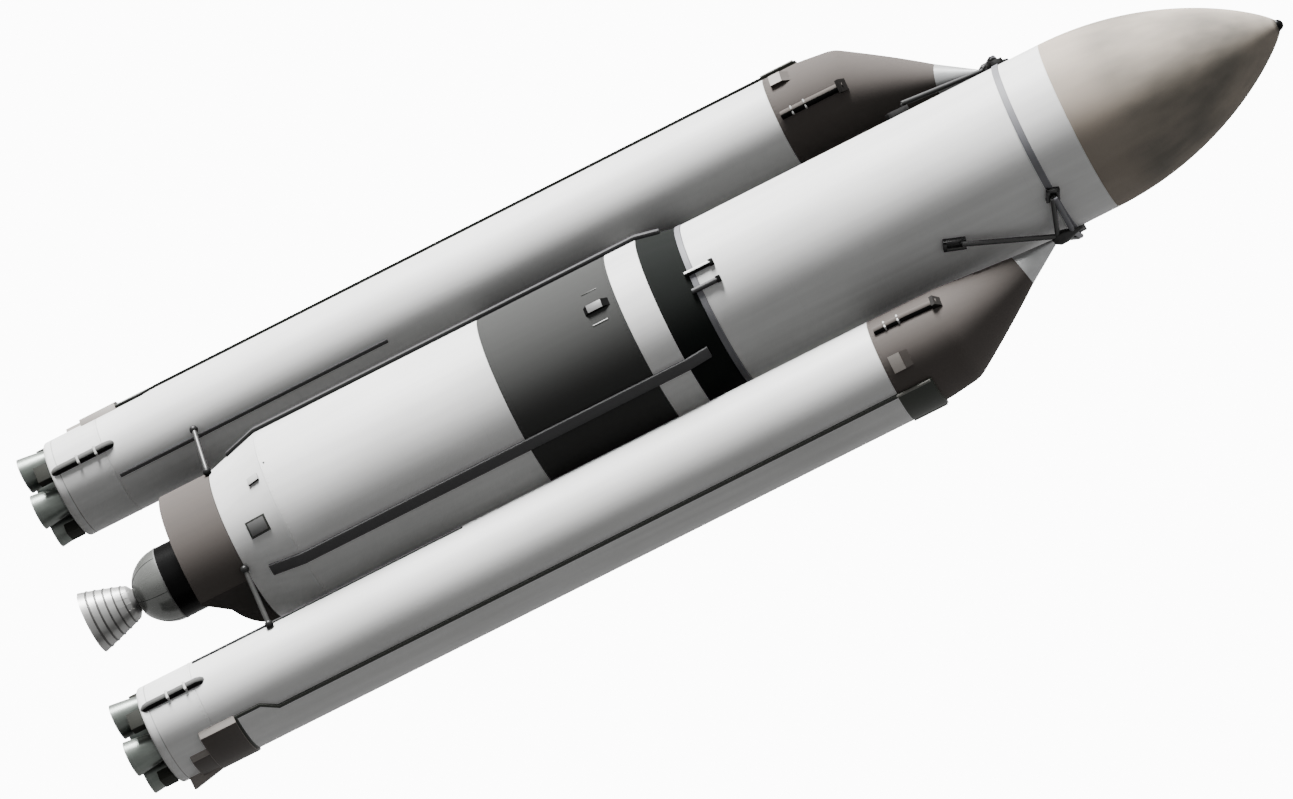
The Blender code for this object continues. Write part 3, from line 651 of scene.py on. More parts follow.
FAIRING_TIP_RADIUS = 0.022
FAIRING_CAP = 0.022
fairing = grown(
    "fairing_shell",
    fairing_tree(),
    {
        "Base Radius": UPPER_RADIUS,
        "Tip Radius": FAIRING_TIP_RADIUS,
        "Foot": fairing_low,
        "Length": fairing_high - FAIRING_CAP - fairing_low,
        "Power": 0.86,
        "Rings": 60,
        "Segments": 160,
        "Material": beige_paint,
    },
)
put_on(fairing, BODY, "beige_paint", "nose_fairing")
cap_profile = [(0.0, fairing_high)]
for i in range(1, 9):
    turn = 0.5 * math.pi * i / 8
    radius = FAIRING_TIP_RADIUS * math.sin(turn) * 0.998
    cap_profile.append((radius, fairing_high - FAIRING_CAP * (1.0 - math.cos(turn))))
cap_profile.append((0.0, fairing_high - FAIRING_CAP))
cap = turned("fairing_tip", cap_profile, [black_paint], 48)
put_on(cap, BODY, "black_paint")
print("fairing points:", len(fairing.data.vertices))

# %% [markdown]
# ## The skirt and its cut-aways
#
# Beside each booster the brown skirt is cut away by an upright face and a sloping one, so that the
# booster's struts can pass. A turned barrel with two wedges taken out of it gives that shape. The
# cut faces take a darker copy of the brown paint: painted shade.


# %% Cut the skirt
def solid_from(sections):
    """Make a closed solid between sections of equal point counts, from the lowest up."""
    work = bmesh.new()
    rings = [[work.verts.new(point) for point in section] for section in sections]
    work.faces.new(reversed(rings[0]))
    work.faces.new(rings[-1])
    for lower, upper in zip(rings, rings[1:]):
        for i in range(len(lower)):
            j = (i + 1) % len(lower)
            work.faces.new((lower[i], lower[j], upper[j], upper[i]))
    bmesh.ops.triangulate(work, faces=work.faces)
    bmesh.ops.recalc_face_normals(work, faces=work.faces)
    return work


def object_from(name, work, materials=()):
    """Turn a bmesh into an object at the origin."""
    mesh = bpy.data.meshes.new(name)
    work.to_mesh(mesh)
    work.free()
    for material in materials:
        mesh.materials.append(material)
    piece = bpy.data.objects.new(name, mesh)
    bpy.context.scene.collection.objects.link(piece)
    return piece


def finished(piece, sharp=35.0):
    """Apply a piece's modifiers and leave a plain, smooth-shaded mesh."""
    bpy.context.view_layer.update()
    evaluated = piece.evaluated_get(bpy.context.evaluated_depsgraph_get())
    mesh = bpy.data.meshes.new_from_object(evaluated)
    piece.modifiers.clear()
    piece.data = mesh
    mesh.shade_smooth()
    mesh.set_sharp_from_angle(angle=math.radians(sharp))
    return piece


def cut_away(piece, tool):
    """Take a solid out of a piece and remove the tool."""
    modifier = piece.modifiers.new("cut", "BOOLEAN")
    modifier.operation = "DIFFERENCE"
    modifier.object = tool
    finished(piece)
    bpy.data.objects.remove(tool)


# A darker copy of the brown heat paint for the cut faces: painted shade.
taupe_painted_shade = painted(
    "brown heat paint in the cut", (0.034, 0.029, 0.026), (0.044, 0.038, 0.034), (0.8, 0.95), specular=0.4
)
skirt_low, skirt_high = heights("core_skirt")
profile = [(0.0, skirt_high), (SKIRT_RADIUS, skirt_high), (SKIRT_RADIUS, skirt_low), (0.0, skirt_low)]
skirt = turned("core_skirt_skin", eased(profile, EASE), [taupe_paint, taupe_painted_shade], 192)
EDGE_ANGLE = -36.3
WEDGE_ENDS = ((skirt_low - 0.01, 88.4), (skirt_high - 0.0012, 30.0))
for letter, side in SIDES:
    sections = []
    for height, angle in WEDGE_ENDS:
        near = at_angle(SKIRT_RADIUS * 1.0005, EDGE_ANGLE, height)
        far = at_angle(SKIRT_RADIUS * 1.001, angle, height)
        reach = at_angle(0.9, 0.5 * (angle + EDGE_ANGLE), 0.0)
        corners = (near, near + reach, far + reach, far)
        sections.append([(side * point.x, point.y, point.z) for point in corners])
    cut_away(skirt, object_from("wedge", solid_from(sections)))
# Faces that do not look straight out are the cut faces, and they take the darker copy: painted shade.
for face in skirt.data.polygons:
    outward = Vector((face.center.x, face.center.y, 0.0)).normalized()
    is_cap = abs(face.normal.z) > 0.9
    face.material_index = 0 if is_cap or face.normal.dot(outward) > 0.985 else 1
put_on(skirt, BODY, "taupe_paint", "core_skirt")
print("skirt faces:", len(skirt.data.polygons))

# %% [markdown]
# ## Engine bells, by rule
#
# A bell widens from its throat to its exit with a power of the way down. The same rule shapes the
# shell, the hoops around it and the ribs along it, so they always fit. The shell is turned from the
# rule, outside and inside; the hoops and ribs repeat, so Geometry Nodes place them. The core's bell
# has many cooling hoops and ribs, and the booster bells are smooth with a bright lip.


# %% Write the bell rule and its trees
class BellShape:
    """A bell's rule: radius against the share of the way from pivot to exit."""

    def __init__(self, throat, exit_radius, start, power, neck):
        self.throat = throat
        self.exit_radius = exit_radius
        self.start = start
        self.power = power
        self.neck = neck

    def radius(self, share):
        """Return the bell's outer radius at a share of the way down."""
        way = max(0.0, (share - self.start) / (1.0 - self.start))
        return self.throat + (self.exit_radius - self.throat) * way**self.power


def rule_radius(tree, get, share):
    """Add the bell rule to a geometry tree and return the radius socket."""
    way = maths(tree, "SUBTRACT", share, get["Start"])
    rest = maths(tree, "SUBTRACT", 1.0, get["Start"])
    way = maths(tree, "DIVIDE", way, rest, clamp=True)
    way = maths(tree, "POWER", way, get["Power"])
    span = maths(tree, "SUBTRACT", get["Exit Radius"], get["Throat"])
    return maths(tree, "MULTIPLY_ADD", span, way, get["Throat"])


BELL_INPUTS = {
    "Throat": 0.03,
    "Exit Radius": 0.07,
    "Start": 0.12,
    "Power": 0.43,
    "Centre X": 0.0,
    "Centre Y": 0.0,
    "Pivot Height": 0.19,
    "Drop": 0.19,
    "First": 0.2,
    "Last": 1.0,
    "Count": 5,
    "Thickness": 0.03,
    "Steps": 24,
    "Material": None,
}


def share_along(tree, get, index, count):
    """Return the share of the way down for a point's index, from First to Last."""
    last_index = maths(tree, "SUBTRACT", count, 1.0)
    part = maths(tree, "DIVIDE", index, last_index)
    span = maths(tree, "SUBTRACT", get["Last"], get["First"])
    return maths(tree, "MULTIPLY_ADD", part, span, get["First"])


def hoops_tree():
    """Rings around a bell, each at the rule's radius."""
    tree, source, target = new_tree("bell hoops", BELL_INPUTS)
    get = source.outputs
    line = tree.nodes.new("GeometryNodeMeshLine")
    tree.links.new(get["Count"], line.inputs["Count"])
    index = tree.nodes.new("GeometryNodeInputIndex")
    share = share_along(tree, get, index.outputs[0], get["Count"])
    drop = maths(tree, "MULTIPLY", share, get["Drop"])
    join = tree.nodes.new("ShaderNodeCombineXYZ")
    tree.links.new(get["Centre X"], join.inputs[0])
    tree.links.new(get["Centre Y"], join.inputs[1])
    tree.links.new(maths(tree, "SUBTRACT", get["Pivot Height"], drop), join.inputs[2])
    move = tree.nodes.new("GeometryNodeSetPosition")
    tree.links.new(line.outputs[0], move.inputs["Geometry"])
    tree.links.new(join.outputs[0], move.inputs["Position"])
    ring = tree.nodes.new("GeometryNodeCurvePrimitiveCircle")
    ring.inputs["Resolution"].default_value = 96
    section = tree.nodes.new("GeometryNodeCurvePrimitiveCircle")
    section.inputs["Resolution"].default_value = 8
    tree.links.new(get["Thickness"], section.inputs["Radius"])
    tube = tree.nodes.new("GeometryNodeCurveToMesh")
    tree.links.new(ring.outputs[0], tube.inputs[0])
    tree.links.new(section.outputs[0], tube.inputs[1])
    copies = tree.nodes.new("GeometryNodeInstanceOnPoints")
    tree.links.new(move.outputs[0], copies.inputs["Points"])
    tree.links.new(tube.outputs[0], copies.inputs["Instance"])
    scale = tree.nodes.new("ShaderNodeCombineXYZ")
    radius = rule_radius(tree, get, share)
    for socket in scale.inputs:
        tree.links.new(radius, socket)
    tree.links.new(scale.outputs[0], copies.inputs["Scale"])
    close_tree(tree, source, target, copies.outputs[0])
    return tree


def ribs_tree():
    """Ribs along a bell, set around it at even angles."""
    tree, source, target = new_tree("bell ribs", BELL_INPUTS)
    get = source.outputs
    line = tree.nodes.new("GeometryNodeMeshLine")
    tree.links.new(get["Steps"], line.inputs["Count"])
    index = tree.nodes.new("GeometryNodeInputIndex")
    share = share_along(tree, get, index.outputs[0], get["Steps"])
    join = tree.nodes.new("ShaderNodeCombineXYZ")
    tree.links.new(rule_radius(tree, get, share), join.inputs[0])
    drop = maths(tree, "MULTIPLY", share, get["Drop"])
    tree.links.new(maths(tree, "SUBTRACT", get["Pivot Height"], drop), join.inputs[2])
    move = tree.nodes.new("GeometryNodeSetPosition")
    tree.links.new(line.outputs[0], move.inputs["Geometry"])
    tree.links.new(join.outputs[0], move.inputs["Position"])
    curve = tree.nodes.new("GeometryNodeMeshToCurve")
    tree.links.new(move.outputs[0], curve.inputs[0])
    section = tree.nodes.new("GeometryNodeCurvePrimitiveCircle")
    section.inputs["Resolution"].default_value = 6
    tree.links.new(get["Thickness"], section.inputs["Radius"])
    tube = tree.nodes.new("GeometryNodeCurveToMesh")
    tube.inputs["Fill Caps"].default_value = True
    tree.links.new(curve.outputs[0], tube.inputs[0])
    tree.links.new(section.outputs[0], tube.inputs[1])
    stands = tree.nodes.new("GeometryNodeMeshLine")
    tree.links.new(get["Count"], stands.inputs["Count"])
    centre = tree.nodes.new("ShaderNodeCombineXYZ")
    tree.links.new(get["Centre X"], centre.inputs[0])
    tree.links.new(get["Centre Y"], centre.inputs[1])
    gather = tree.nodes.new("GeometryNodeSetPosition")
    tree.links.new(stands.outputs[0], gather.inputs["Geometry"])
    tree.links.new(centre.outputs[0], gather.inputs["Position"])
    step = maths(tree, "DIVIDE", math.tau, get["Count"])
    number = tree.nodes.new("GeometryNodeInputIndex")
    turn = tree.nodes.new("ShaderNodeCombineXYZ")
    tree.links.new(maths(tree, "MULTIPLY", number.outputs[0], step), turn.inputs[2])
    copies = tree.nodes.new("GeometryNodeInstanceOnPoints")
    tree.links.new(gather.outputs[0], copies.inputs["Points"])
    tree.links.new(tube.outputs[0], copies.inputs["Instance"])
    tree.links.new(turn.outputs[0], copies.inputs["Rotation"])
    close_tree(tree, source, target, copies.outputs[0])
    return tree


HOOPS = hoops_tree()
RIBS = ribs_tree()
print("bell trees:", HOOPS.name, RIBS.name)

# %% [markdown]
# ## Fit the bells to their bodies
#
# Each bell turns on its own body, so every piece of it rides on that body. The joint in the record
# gives the pivot and the axis. The booster bells keep their trunnion pins, which lie along the axis,
# and the core's bell keeps the pins that sit in its gimbal ring.


# %% Build all nine bells
def rod(name, start, end, radius, materials, segments=24, body=None, slot=None, waist=1.0):
    """Make a round bar between two points, a little thinner in the middle if waist is below 1."""
    start = Vector(start)
    end = Vector(end)
    length = (end - start).length
    ease = min(radius * 0.25, length * 0.1)
    profile = [
        (0.0, length),
        (radius - ease, length),
        (radius, length - ease),
        (radius * waist, length * 0.5),
        (radius, ease),
        (radius - ease, 0.0),
        (0.0, 0.0),
    ]
    piece = turned(name, profile, materials, segments)
    turn = (end - start).to_track_quat("Z", "Y").to_matrix().to_4x4()
    piece.data.transform(Matrix.Translation(start) @ turn)
    if body:
        put_on(piece, body, slot)
    return piece


def merged(name, pieces):
    """Join pieces into one object that keeps their materials."""
    with bpy.context.temp_override(
        active_object=pieces[0], selected_objects=pieces, selected_editable_objects=pieces
    ):
        bpy.ops.object.join()
    pieces[0].name = name
    pieces[0].data.name = name
    return pieces[0]


def bell_shell(name, shape, centre, pivot_height, drop, wall, head_top, materials, collar=()):
    """Turn a bell from its rule: outside, lip and inside, with a closed throat.

    A collar is a list of (radius, share) points between the neck and the throat.
    """
    steps = 28
    head = 0.024
    outer = [(0.0, pivot_height + head_top), (head, pivot_height + head_top)]
    shares = [shape.start + (1.0 - shape.start) * (i / steps) ** 1.6 for i in range(steps + 1)]
    outer.append((head, pivot_height - drop * shape.neck))
    outer += [(radius, pivot_height - drop * share) for radius, share in collar]
    inner = []
    for share in shares:
        outer.append((shape.radius(share), pivot_height - drop * share))
        inner.append((max(0.004, shape.radius(share) - wall), pivot_height - drop * share))
    outside_rows = len(outer)
    profile = outer + list(reversed(inner))
    profile.append((0.0, pivot_height - drop * (shape.start + 0.01)))
    return turned(
        name, profile, materials, 72, centre, slot_of=lambda row: 0 if row < outside_rows - 1 else 1
    )


hinges = {hinge["child"]: hinge for hinge in frame["joints"]}
booster_shape = BellShape(0.030, half_width("booster_a_nozzle_1"), 0.11, 0.45, 0.05)
for letter, side in SIDES:
    for number in range(1, 5):
        body = f"booster_{letter}_bell_{number}"
        node = f"booster_{letter}_nozzle_{number}"
        x, y, pivot_height = hinges[body]["pos_m"]
        drop = pivot_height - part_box(node)[0][2]
        shell = bell_shell(
            node + "_shell",
            booster_shape,
            (x, y),
            pivot_height,
            drop,
            0.003,
            0.014,
            [nozzle_metal, nozzle_inside],
        )
        put_on(shell, body, "nozzle_metal", node)
        values = {
            "Throat": booster_shape.throat,
            "Exit Radius": booster_shape.exit_radius - 0.0012,
            "Start": booster_shape.start,
            "Power": booster_shape.power,
            "Centre X": x,
            "Centre Y": y,
            "Pivot Height": pivot_height,
            "Drop": drop,
            "First": 0.90,
            "Last": 0.985,
            "Count": 2,
            "Thickness": 0.018,
            "Material": lip_metal,
        }
        put_on(grown(node + "_lip", HOOPS, values), body, "nozzle_metal")
        values.update({"First": 0.34, "Last": 0.72, "Count": 3, "Thickness": 0.014, "Material": nozzle_metal})
        put_on(grown(node + "_hoops", HOOPS, values), body, "nozzle_metal")
        axis = Vector(hinges[body]["axis"]) * 0.041
        pivot = Vector((x, y, pivot_height))
        rod(node + "_pins", pivot - axis, pivot + axis, 0.0054, [dark_steel], 24, body, "nozzle_metal")

core_shape = BellShape(0.066, half_width("core_nozzle"), 0.18, 0.9, 0.095)
CORE_COLLAR = ((0.043, 0.0995), (0.050, 0.127))
x, y, pivot_height = hinges["core_bell"]["pos_m"]
drop = pivot_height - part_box("core_nozzle")[0][2]
shell = bell_shell(
    "core_bell_shell",
    core_shape,
    (x, y),
    pivot_height,
    drop,
    0.004,
    0.012,
    [core_bell_metal, nozzle_inside],
    CORE_COLLAR,
)
put_on(shell, "core_bell", "bell_metal", "core_nozzle")
values = {
    "Throat": core_shape.throat,
    "Exit Radius": core_shape.exit_radius - 0.0024,
    "Start": core_shape.start,
    "Power": core_shape.power,
    "Centre X": x,
    "Centre Y": y,
    "Pivot Height": pivot_height,
    "Drop": drop,
    "First": 0.28,
    "Last": 0.86,
    "Count": 5,
    "Thickness": 0.042,
    "Material": hoop_metal,
}
put_on(grown("core_bell_hoops", HOOPS, values), "core_bell", "bell_metal")
values.update({"First": 0.88, "Last": 0.985, "Count": 2, "Thickness": 0.018, "Material": core_bell_metal})
put_on(grown("core_bell_lips", HOOPS, values), "core_bell", "bell_metal")
values.update({"First": 0.18, "Last": 0.86, "Count": 18, "Thickness": 0.0011, "Steps": 20})
put_on(grown("core_bell_ribs", RIBS, values), "core_bell", "bell_metal")
pivot = Vector((x, y, pivot_height))
axis = Vector((0.0, 0.040, 0.0))
rod("core_bell_pins", pivot - axis, pivot + axis, 0.0054, [dark_steel], 24, "core_bell", "bell_metal")
frame["nodes"]["core_gimbal_ring"].material_slots[0].material = dark_steel
print("bells fitted:", len(hinges) - 1)

# %% [markdown]
# ## Blocks and tubes
#
# Brackets, boxes, hatches and clamps are blocks seated on a round body. Each is a box with eased
# edges, turned to face outward and sunk a little into the skin. Pipes and rails are tubes along a
# path, so that they can follow a body that tapers.


# %% Write the block and tube helpers
def seated_block(name, seat, size, materials, edge=0.0015, slope=0.0, top_scale=(1.0, 1.0)):
    """Make a block on a round body. The seat is (radius, angle, height, centre)."""
    radius, angle, height, centre = seat
    depth, width, tall = size
    work = bmesh.new()
    bmesh.ops.create_cube(work, size=1.0)
    for vert in work.verts:
        is_outer = vert.co.x > 0
        scale_y = top_scale[0] if is_outer else 1.0
        scale_z = top_scale[1] if is_outer else 1.0
        vert.co = Vector((vert.co.x * depth, vert.co.y * width * scale_y, vert.co.z * tall * scale_z))
    if edge > 0:
        bmesh.ops.bevel(work, geom=work.edges[:], offset=edge, segments=2, affect="EDGES", profile=0.5)
    turn = Matrix.Rotation(math.radians(angle), 4, "Z")
    tip = Matrix.Rotation(math.radians(slope), 4, "Y")
    work.transform(Matrix.Translation(at_angle(radius, angle, height, centre)) @ turn @ tip)
    piece = object_from(name, work, materials)
    piece.data.shade_smooth()
    piece.data.set_sharp_from_angle(angle=math.radians(35))
    return piece


def fork(name, seat, size, arm, lean, materials):
    """Make an open clevis with its pin. Its mouth leans from upright toward the strut it holds."""
    radius, angle, height, centre = seat
    depth, width, tall = size
    boxes = (
        ((-0.25 * depth, 0.0, 0.0), (depth * 0.5, width, tall)),
        ((0.0, 0.0, -0.5 * (tall - arm)), (depth, width, arm)),
        ((0.0, 0.5 * (width - arm), 0.0), (depth, arm, tall)),
        ((0.0, -0.5 * (width - arm), 0.0), (depth, arm, tall)),
    )
    work = bmesh.new()
    for middle, extent in boxes:
        made = bmesh.ops.create_cube(work, size=1.0)
        for vert in made["verts"]:
            vert.co = Vector(middle) + Vector([vert.co[i] * extent[i] for i in range(3)])
    bmesh.ops.bevel(work, geom=work.edges[:], offset=0.0012, segments=2, affect="EDGES", profile=0.5)
    pin_place = Matrix.Translation((0.15 * depth, 0.0, 0.5 * tall - arm))
    pin_place = pin_place @ Matrix.Rotation(math.radians(90), 4, "X")
    bmesh.ops.create_cone(
        work,
        cap_ends=True,
        segments=20,
        radius1=0.4 * arm,
        radius2=0.4 * arm,
        depth=width + 0.005,
        matrix=pin_place,
    )
    turn = Matrix.Rotation(math.radians(angle), 4, "Z")
    tip = Matrix.Rotation(math.radians(-lean), 4, "X")
    work.transform(Matrix.Translation(at_angle(radius, angle, height, centre)) @ turn @ tip)
    piece = object_from(name, work, materials)
    piece.data.shade_smooth()
    piece.data.set_sharp_from_angle(angle=math.radians(35))
    return piece


def tube(name, path, radius, materials, segments=16, flat=1.0):
    """Sweep a round or flattened section along a path of points."""
    path = [Vector(point) for point in path]
    rings = []
    points = []
    for i, point in enumerate(path):
        before = path[max(i - 1, 0)]
        after = path[min(i + 1, len(path) - 1)]
        way = (after - before).normalized()
        across = way.cross(Vector((point.x, point.y, 0.0)))
        if across.length < 1e-6:
            across = way.orthogonal()
        across.normalize()
        outward = across.cross(way)
        rings.append(list(range(len(points), len(points) + segments)))
        for k in range(segments):
            turn = math.tau * k / segments
            points.append(
                point + across * (radius * math.cos(turn)) + outward * (radius * flat * math.sin(turn))
            )
    faces = [rings[0], rings[-1]]
    for lower, upper in zip(rings, rings[1:]):
        for k in range(segments):
            j = (k + 1) % segments
            faces.append([lower[k], lower[j], upper[j], upper[k]])
    return piece_from(name, points, faces, materials)


def lofted(name, sections, materials, sharp=35.0):
    """Join rings of equal point counts, from the lowest to the highest, with caps."""
    points = [point for section in sections for point in section]
    count = len(sections[0])
    faces = [list(range(count)), list(range(len(points) - count, len(points)))]
    for row in range(len(sections) - 1):
        for i in range(count):
            j = (i + 1) % count
            low = row * count
            faces.append([low + i, low + j, low + count + j, low + count + i])
    return piece_from(name, points, faces, materials, None, sharp)


def rounded(path, reach, steps=5):
    """Round the inner corners of a path by short curves. Points may have any length."""
    path = [np.array(point, float) for point in path]
    result = [path[0]]
    for before, corner, after in zip(path, path[1:], path[2:]):
        ends = []
        for neighbour in (before, after):
            way = neighbour - corner
            length = np.linalg.norm(way)
            ends.append(corner + way / length * min(reach, length * 0.45))
        for i in range(steps + 1):
            t = i / steps
            result.append((1 - t) ** 2 * ends[0] + 2 * t * (1 - t) * corner + t * t * ends[1])
    result.append(path[-1])
    return result


def refined(name, node, width, materials, pick=None):
    """Copy a solid, merge its points, ease its edges and colour its faces by a rule."""
    mesh = frame["nodes"][node].data.copy()
    mesh.materials.clear()
    for material in materials:
        mesh.materials.append(material)
    work = bmesh.new()
    work.from_mesh(mesh)
    bmesh.ops.remove_doubles(work, verts=work.verts, dist=0.00002)
    bmesh.ops.dissolve_limit(
        work, angle_limit=math.radians(1.0), verts=work.verts, edges=work.edges
    )
    bmesh.ops.recalc_face_normals(work, faces=work.faces)
    work.to_mesh(mesh)
    work.free()
    mesh.name = name
    piece = bpy.data.objects.new(name, mesh)
    bpy.context.scene.collection.objects.link(piece)
    ease = piece.modifiers.new("ease", "BEVEL")
    ease.width = width
    ease.segments = 2
    ease.limit_method = "ANGLE"
    ease.angle_limit = math.radians(32)
    ease.use_clamp_overlap = True
    finished(piece)
    for face in piece.data.polygons:
        face.material_index = pick(face) if pick else 0
    return piece


def painted_shade_toward_x(limit):
    """Return a rule: slot 1, for a darker paint as painted shade, on faces that look toward +X, else slot 0."""

    def rule(face):
        return 1 if face.normal.x > limit else 0

    return rule


def colour_faces(piece, rule):
    """Set each face's material slot by a rule."""
    for face in piece.data.polygons:
        face.material_index = rule(face)
    return piece


def ramp(name, centre, foot_radius, angle, width, rows, materials):
    """Make a block along a round body whose depth changes. A row is (depth, height)."""
    half = math.degrees(0.5 * width / foot_radius)
    sections = []
    for depth, height in rows:
        section = [at_angle(foot_radius - 0.003, angle - half, height, centre)]
        for share in (-1.0, 0.0, 1.0):
            section.append(at_angle(foot_radius + depth, angle + share * half, height, centre))
        section.append(at_angle(foot_radius - 0.003, angle + half, height, centre))
        sections.append(section)
    return lofted(name, sections, materials)


print("block and tube helpers ready")

# %% [markdown]
# ## The dome, and what the skirt and core carry
#
# The engine hangs in an open bowl under the black band. Two ears in the bowl hold the gimbal ring.
# The upper stage has a slate ring with clevises for the forward struts, and four brackets lower
# down. Two long ducts and a pair of boxes complete the core. Pieces with flat faces keep their solid
# and get eased edges. Round ones are turned again with more segments.

# %% Dress the dome and the core's fittings
dome_low, dome_high = heights("core_engine_dome")
gimbal_z = hinges["core_bell"]["pos_m"][2]
DOME_MOUTH_RADIUS = 0.064
DOME_WALL = 0.004
mouth_turn = math.acos(DOME_MOUTH_RADIUS / BAND_RADIUS)
outer = [(0.0, dome_high)]
inner = []
for i in range(25):
    turn = mouth_turn * i / 24
    drop = (dome_high - dome_low) * math.sin(turn) / math.sin(mouth_turn)
    outer.append((BAND_RADIUS * math.cos(turn), dome_high - drop))
    inner.append(((BAND_RADIUS - DOME_WALL) * math.cos(turn), dome_high - 0.006 - drop * 0.95))
profile = outer + list(reversed(inner)) + [(0.0, dome_high - 0.006)]
dome = turned(
    "dome_bowl", profile, [dome_paint, nozzle_inside], 128, slot_of=lambda row: 0 if row < 26 else 1
)
put_on(dome, BODY, "dome_paint", "core_engine_dome")
for side in (1, -1):
    tall = dome_high - 0.004 - (gimbal_z - 0.012)
    seat = (0.052, 0.0 if side > 0 else 180.0, gimbal_z - 0.012 + tall / 2, (0.0, 0.0))
    ear = seated_block(f"gimbal_ear_{side + 1}", seat, (0.009, 0.024, tall), [dark_steel], 0.001)
    put_on(ear, BODY, "dome_paint")


ring_low, ring_high = heights("forward_ring")
RING_Z = 0.5 * (ring_low + ring_high)
RING_HALF = 0.013
RING_DEPTH = 0.005
BRACKET_ANGLE = 27.0
BRACKET_DEPTH = 0.022
profile = [
    (UPPER_RADIUS - 0.001, RING_Z + RING_HALF),
    (UPPER_RADIUS + RING_DEPTH, RING_Z + RING_HALF),
    (UPPER_RADIUS + RING_DEPTH, RING_Z - RING_HALF),
    (UPPER_RADIUS - 0.001, RING_Z - RING_HALF),
]
ring = turned("forward_ring_band", eased(profile, 0.001), [slate_paint], 192)
put_on(ring, BODY, "slate_paint", "forward_ring")
long_bracket_z = sum(heights("bracket_a_front")) / 2
for letter, side in SIDES:
    for end, sign in (("front", -1), ("back", 1)):
        angle = mirrored_angle(side, sign * BRACKET_ANGLE)
        depth = BRACKET_DEPTH + 0.004
        toward = -side * sign
        for what, height, size, lean, replaced in (
            ("lug", RING_Z, (depth, 0.050, 0.056), 116.0, ()),
            ("bracket", long_bracket_z, (depth, 0.044, 0.086), 22.0, (f"bracket_{letter}_{end}",)),
        ):
            seat = (UPPER_RADIUS - 0.004 + depth / 2, angle, height, (0.0, 0.0))
            clevis = fork(f"{what}_{letter}_{end}_fork", seat, size, 0.013, toward * lean, [strut_paint])
            put_on(clevis, BODY, "dark_steel", *replaced)
    duct = refined(f"core_duct_{letter}_skin", f"core_duct_{letter}", 0.0022, [duct_paint])
    put_on(duct, BODY, "dark_steel", f"core_duct_{letter}")


def lighter_outside(face):
    """Slot 1 for faces that look straight out from the core, else slot 0."""
    outward = Vector((face.center.x, face.center.y, 0.0)).normalized()
    return 1 if face.normal.dot(outward) > 0.9 else 0


BOX_RAMPS = (("low", 0, -0.012), ("high", 1, 0.022))
for end in ("front", "back"):
    node = f"intertank_box_{end}"
    box = refined(node + "_skin", node, 0.0016, [black_paint, hatch_paint], lighter_outside)
    put_on(box, BODY, "dark_steel", node)
    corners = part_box(node)
    middle = 0.5 * (Vector(corners[0]) + Vector(corners[1]))
    box_angle = math.degrees(math.atan2(middle.y, middle.x))
    for which, corner, run in BOX_RAMPS:
        foot = corners[corner][2]
        rows = sorted(((0.014, foot - 0.2 * run), (0.0006, foot + run)), key=lambda row: row[1])
        end_ramp = ramp(f"{node}_ramp_{which}", (0.0, 0.0), CORE_RADIUS, box_angle, 0.034, rows, [black_paint])
        put_on(end_ramp, BODY, "dark_steel")
seams = []
for i in range(6):
    turn = math.tau * i / 6 + math.radians(-50.0)
    path = [(radius * math.cos(turn), radius * math.sin(turn), height) for radius, height in outer[1:]]
    seams.append(tube(f"dome_seam_{i}", path, 0.0011, [black_paint], 8))
put_on(merged("dome_seams", seams), BODY, "dome_paint")
print("dome, ring, brackets, ducts and boxes dressed")

# %% [markdown]
# ## The boosters' bodies
#
# Each booster is a white cylinder on a white tail bay, under a brown nose that leans toward the core
# and ends in a bright tip. The nose is a loft: each section is a circle that may be moved and tilted,
# and the corners of its path are rounded so that it bends as rolled sheet does.

# %% Turn and loft the boosters
NOSE_TAPER_Z = 3.340
SHOULDER = (0.186, 0.0095, 3.478, 0.0)
TIP_FOOT = (0.062, 0.124, 3.788, 0.27)
APEX = (0.012, 0.1715, 3.938, 0.27)
BAY_WALL = 0.012
BAY_CEILING_Z = 0.300


def leaning_circle(side, row, segments=128):
    """Return a section: a circle moved toward the core and tilted about Y."""
    radius, lean, height, tilt = row
    section = []
    for i in range(segments):
        turn = math.tau * i / segments
        x = radius * math.cos(turn)
        section.append((side * (BOOSTER_X + x - lean), radius * math.sin(turn), height + tilt * x))
    return section


def between(first, last, count):
    """Return rows in even steps from one row to another, with both ends."""
    first = np.array(first, float)
    last = np.array(last, float)
    return [first + (last - first) * i / count for i in range(count + 1)]


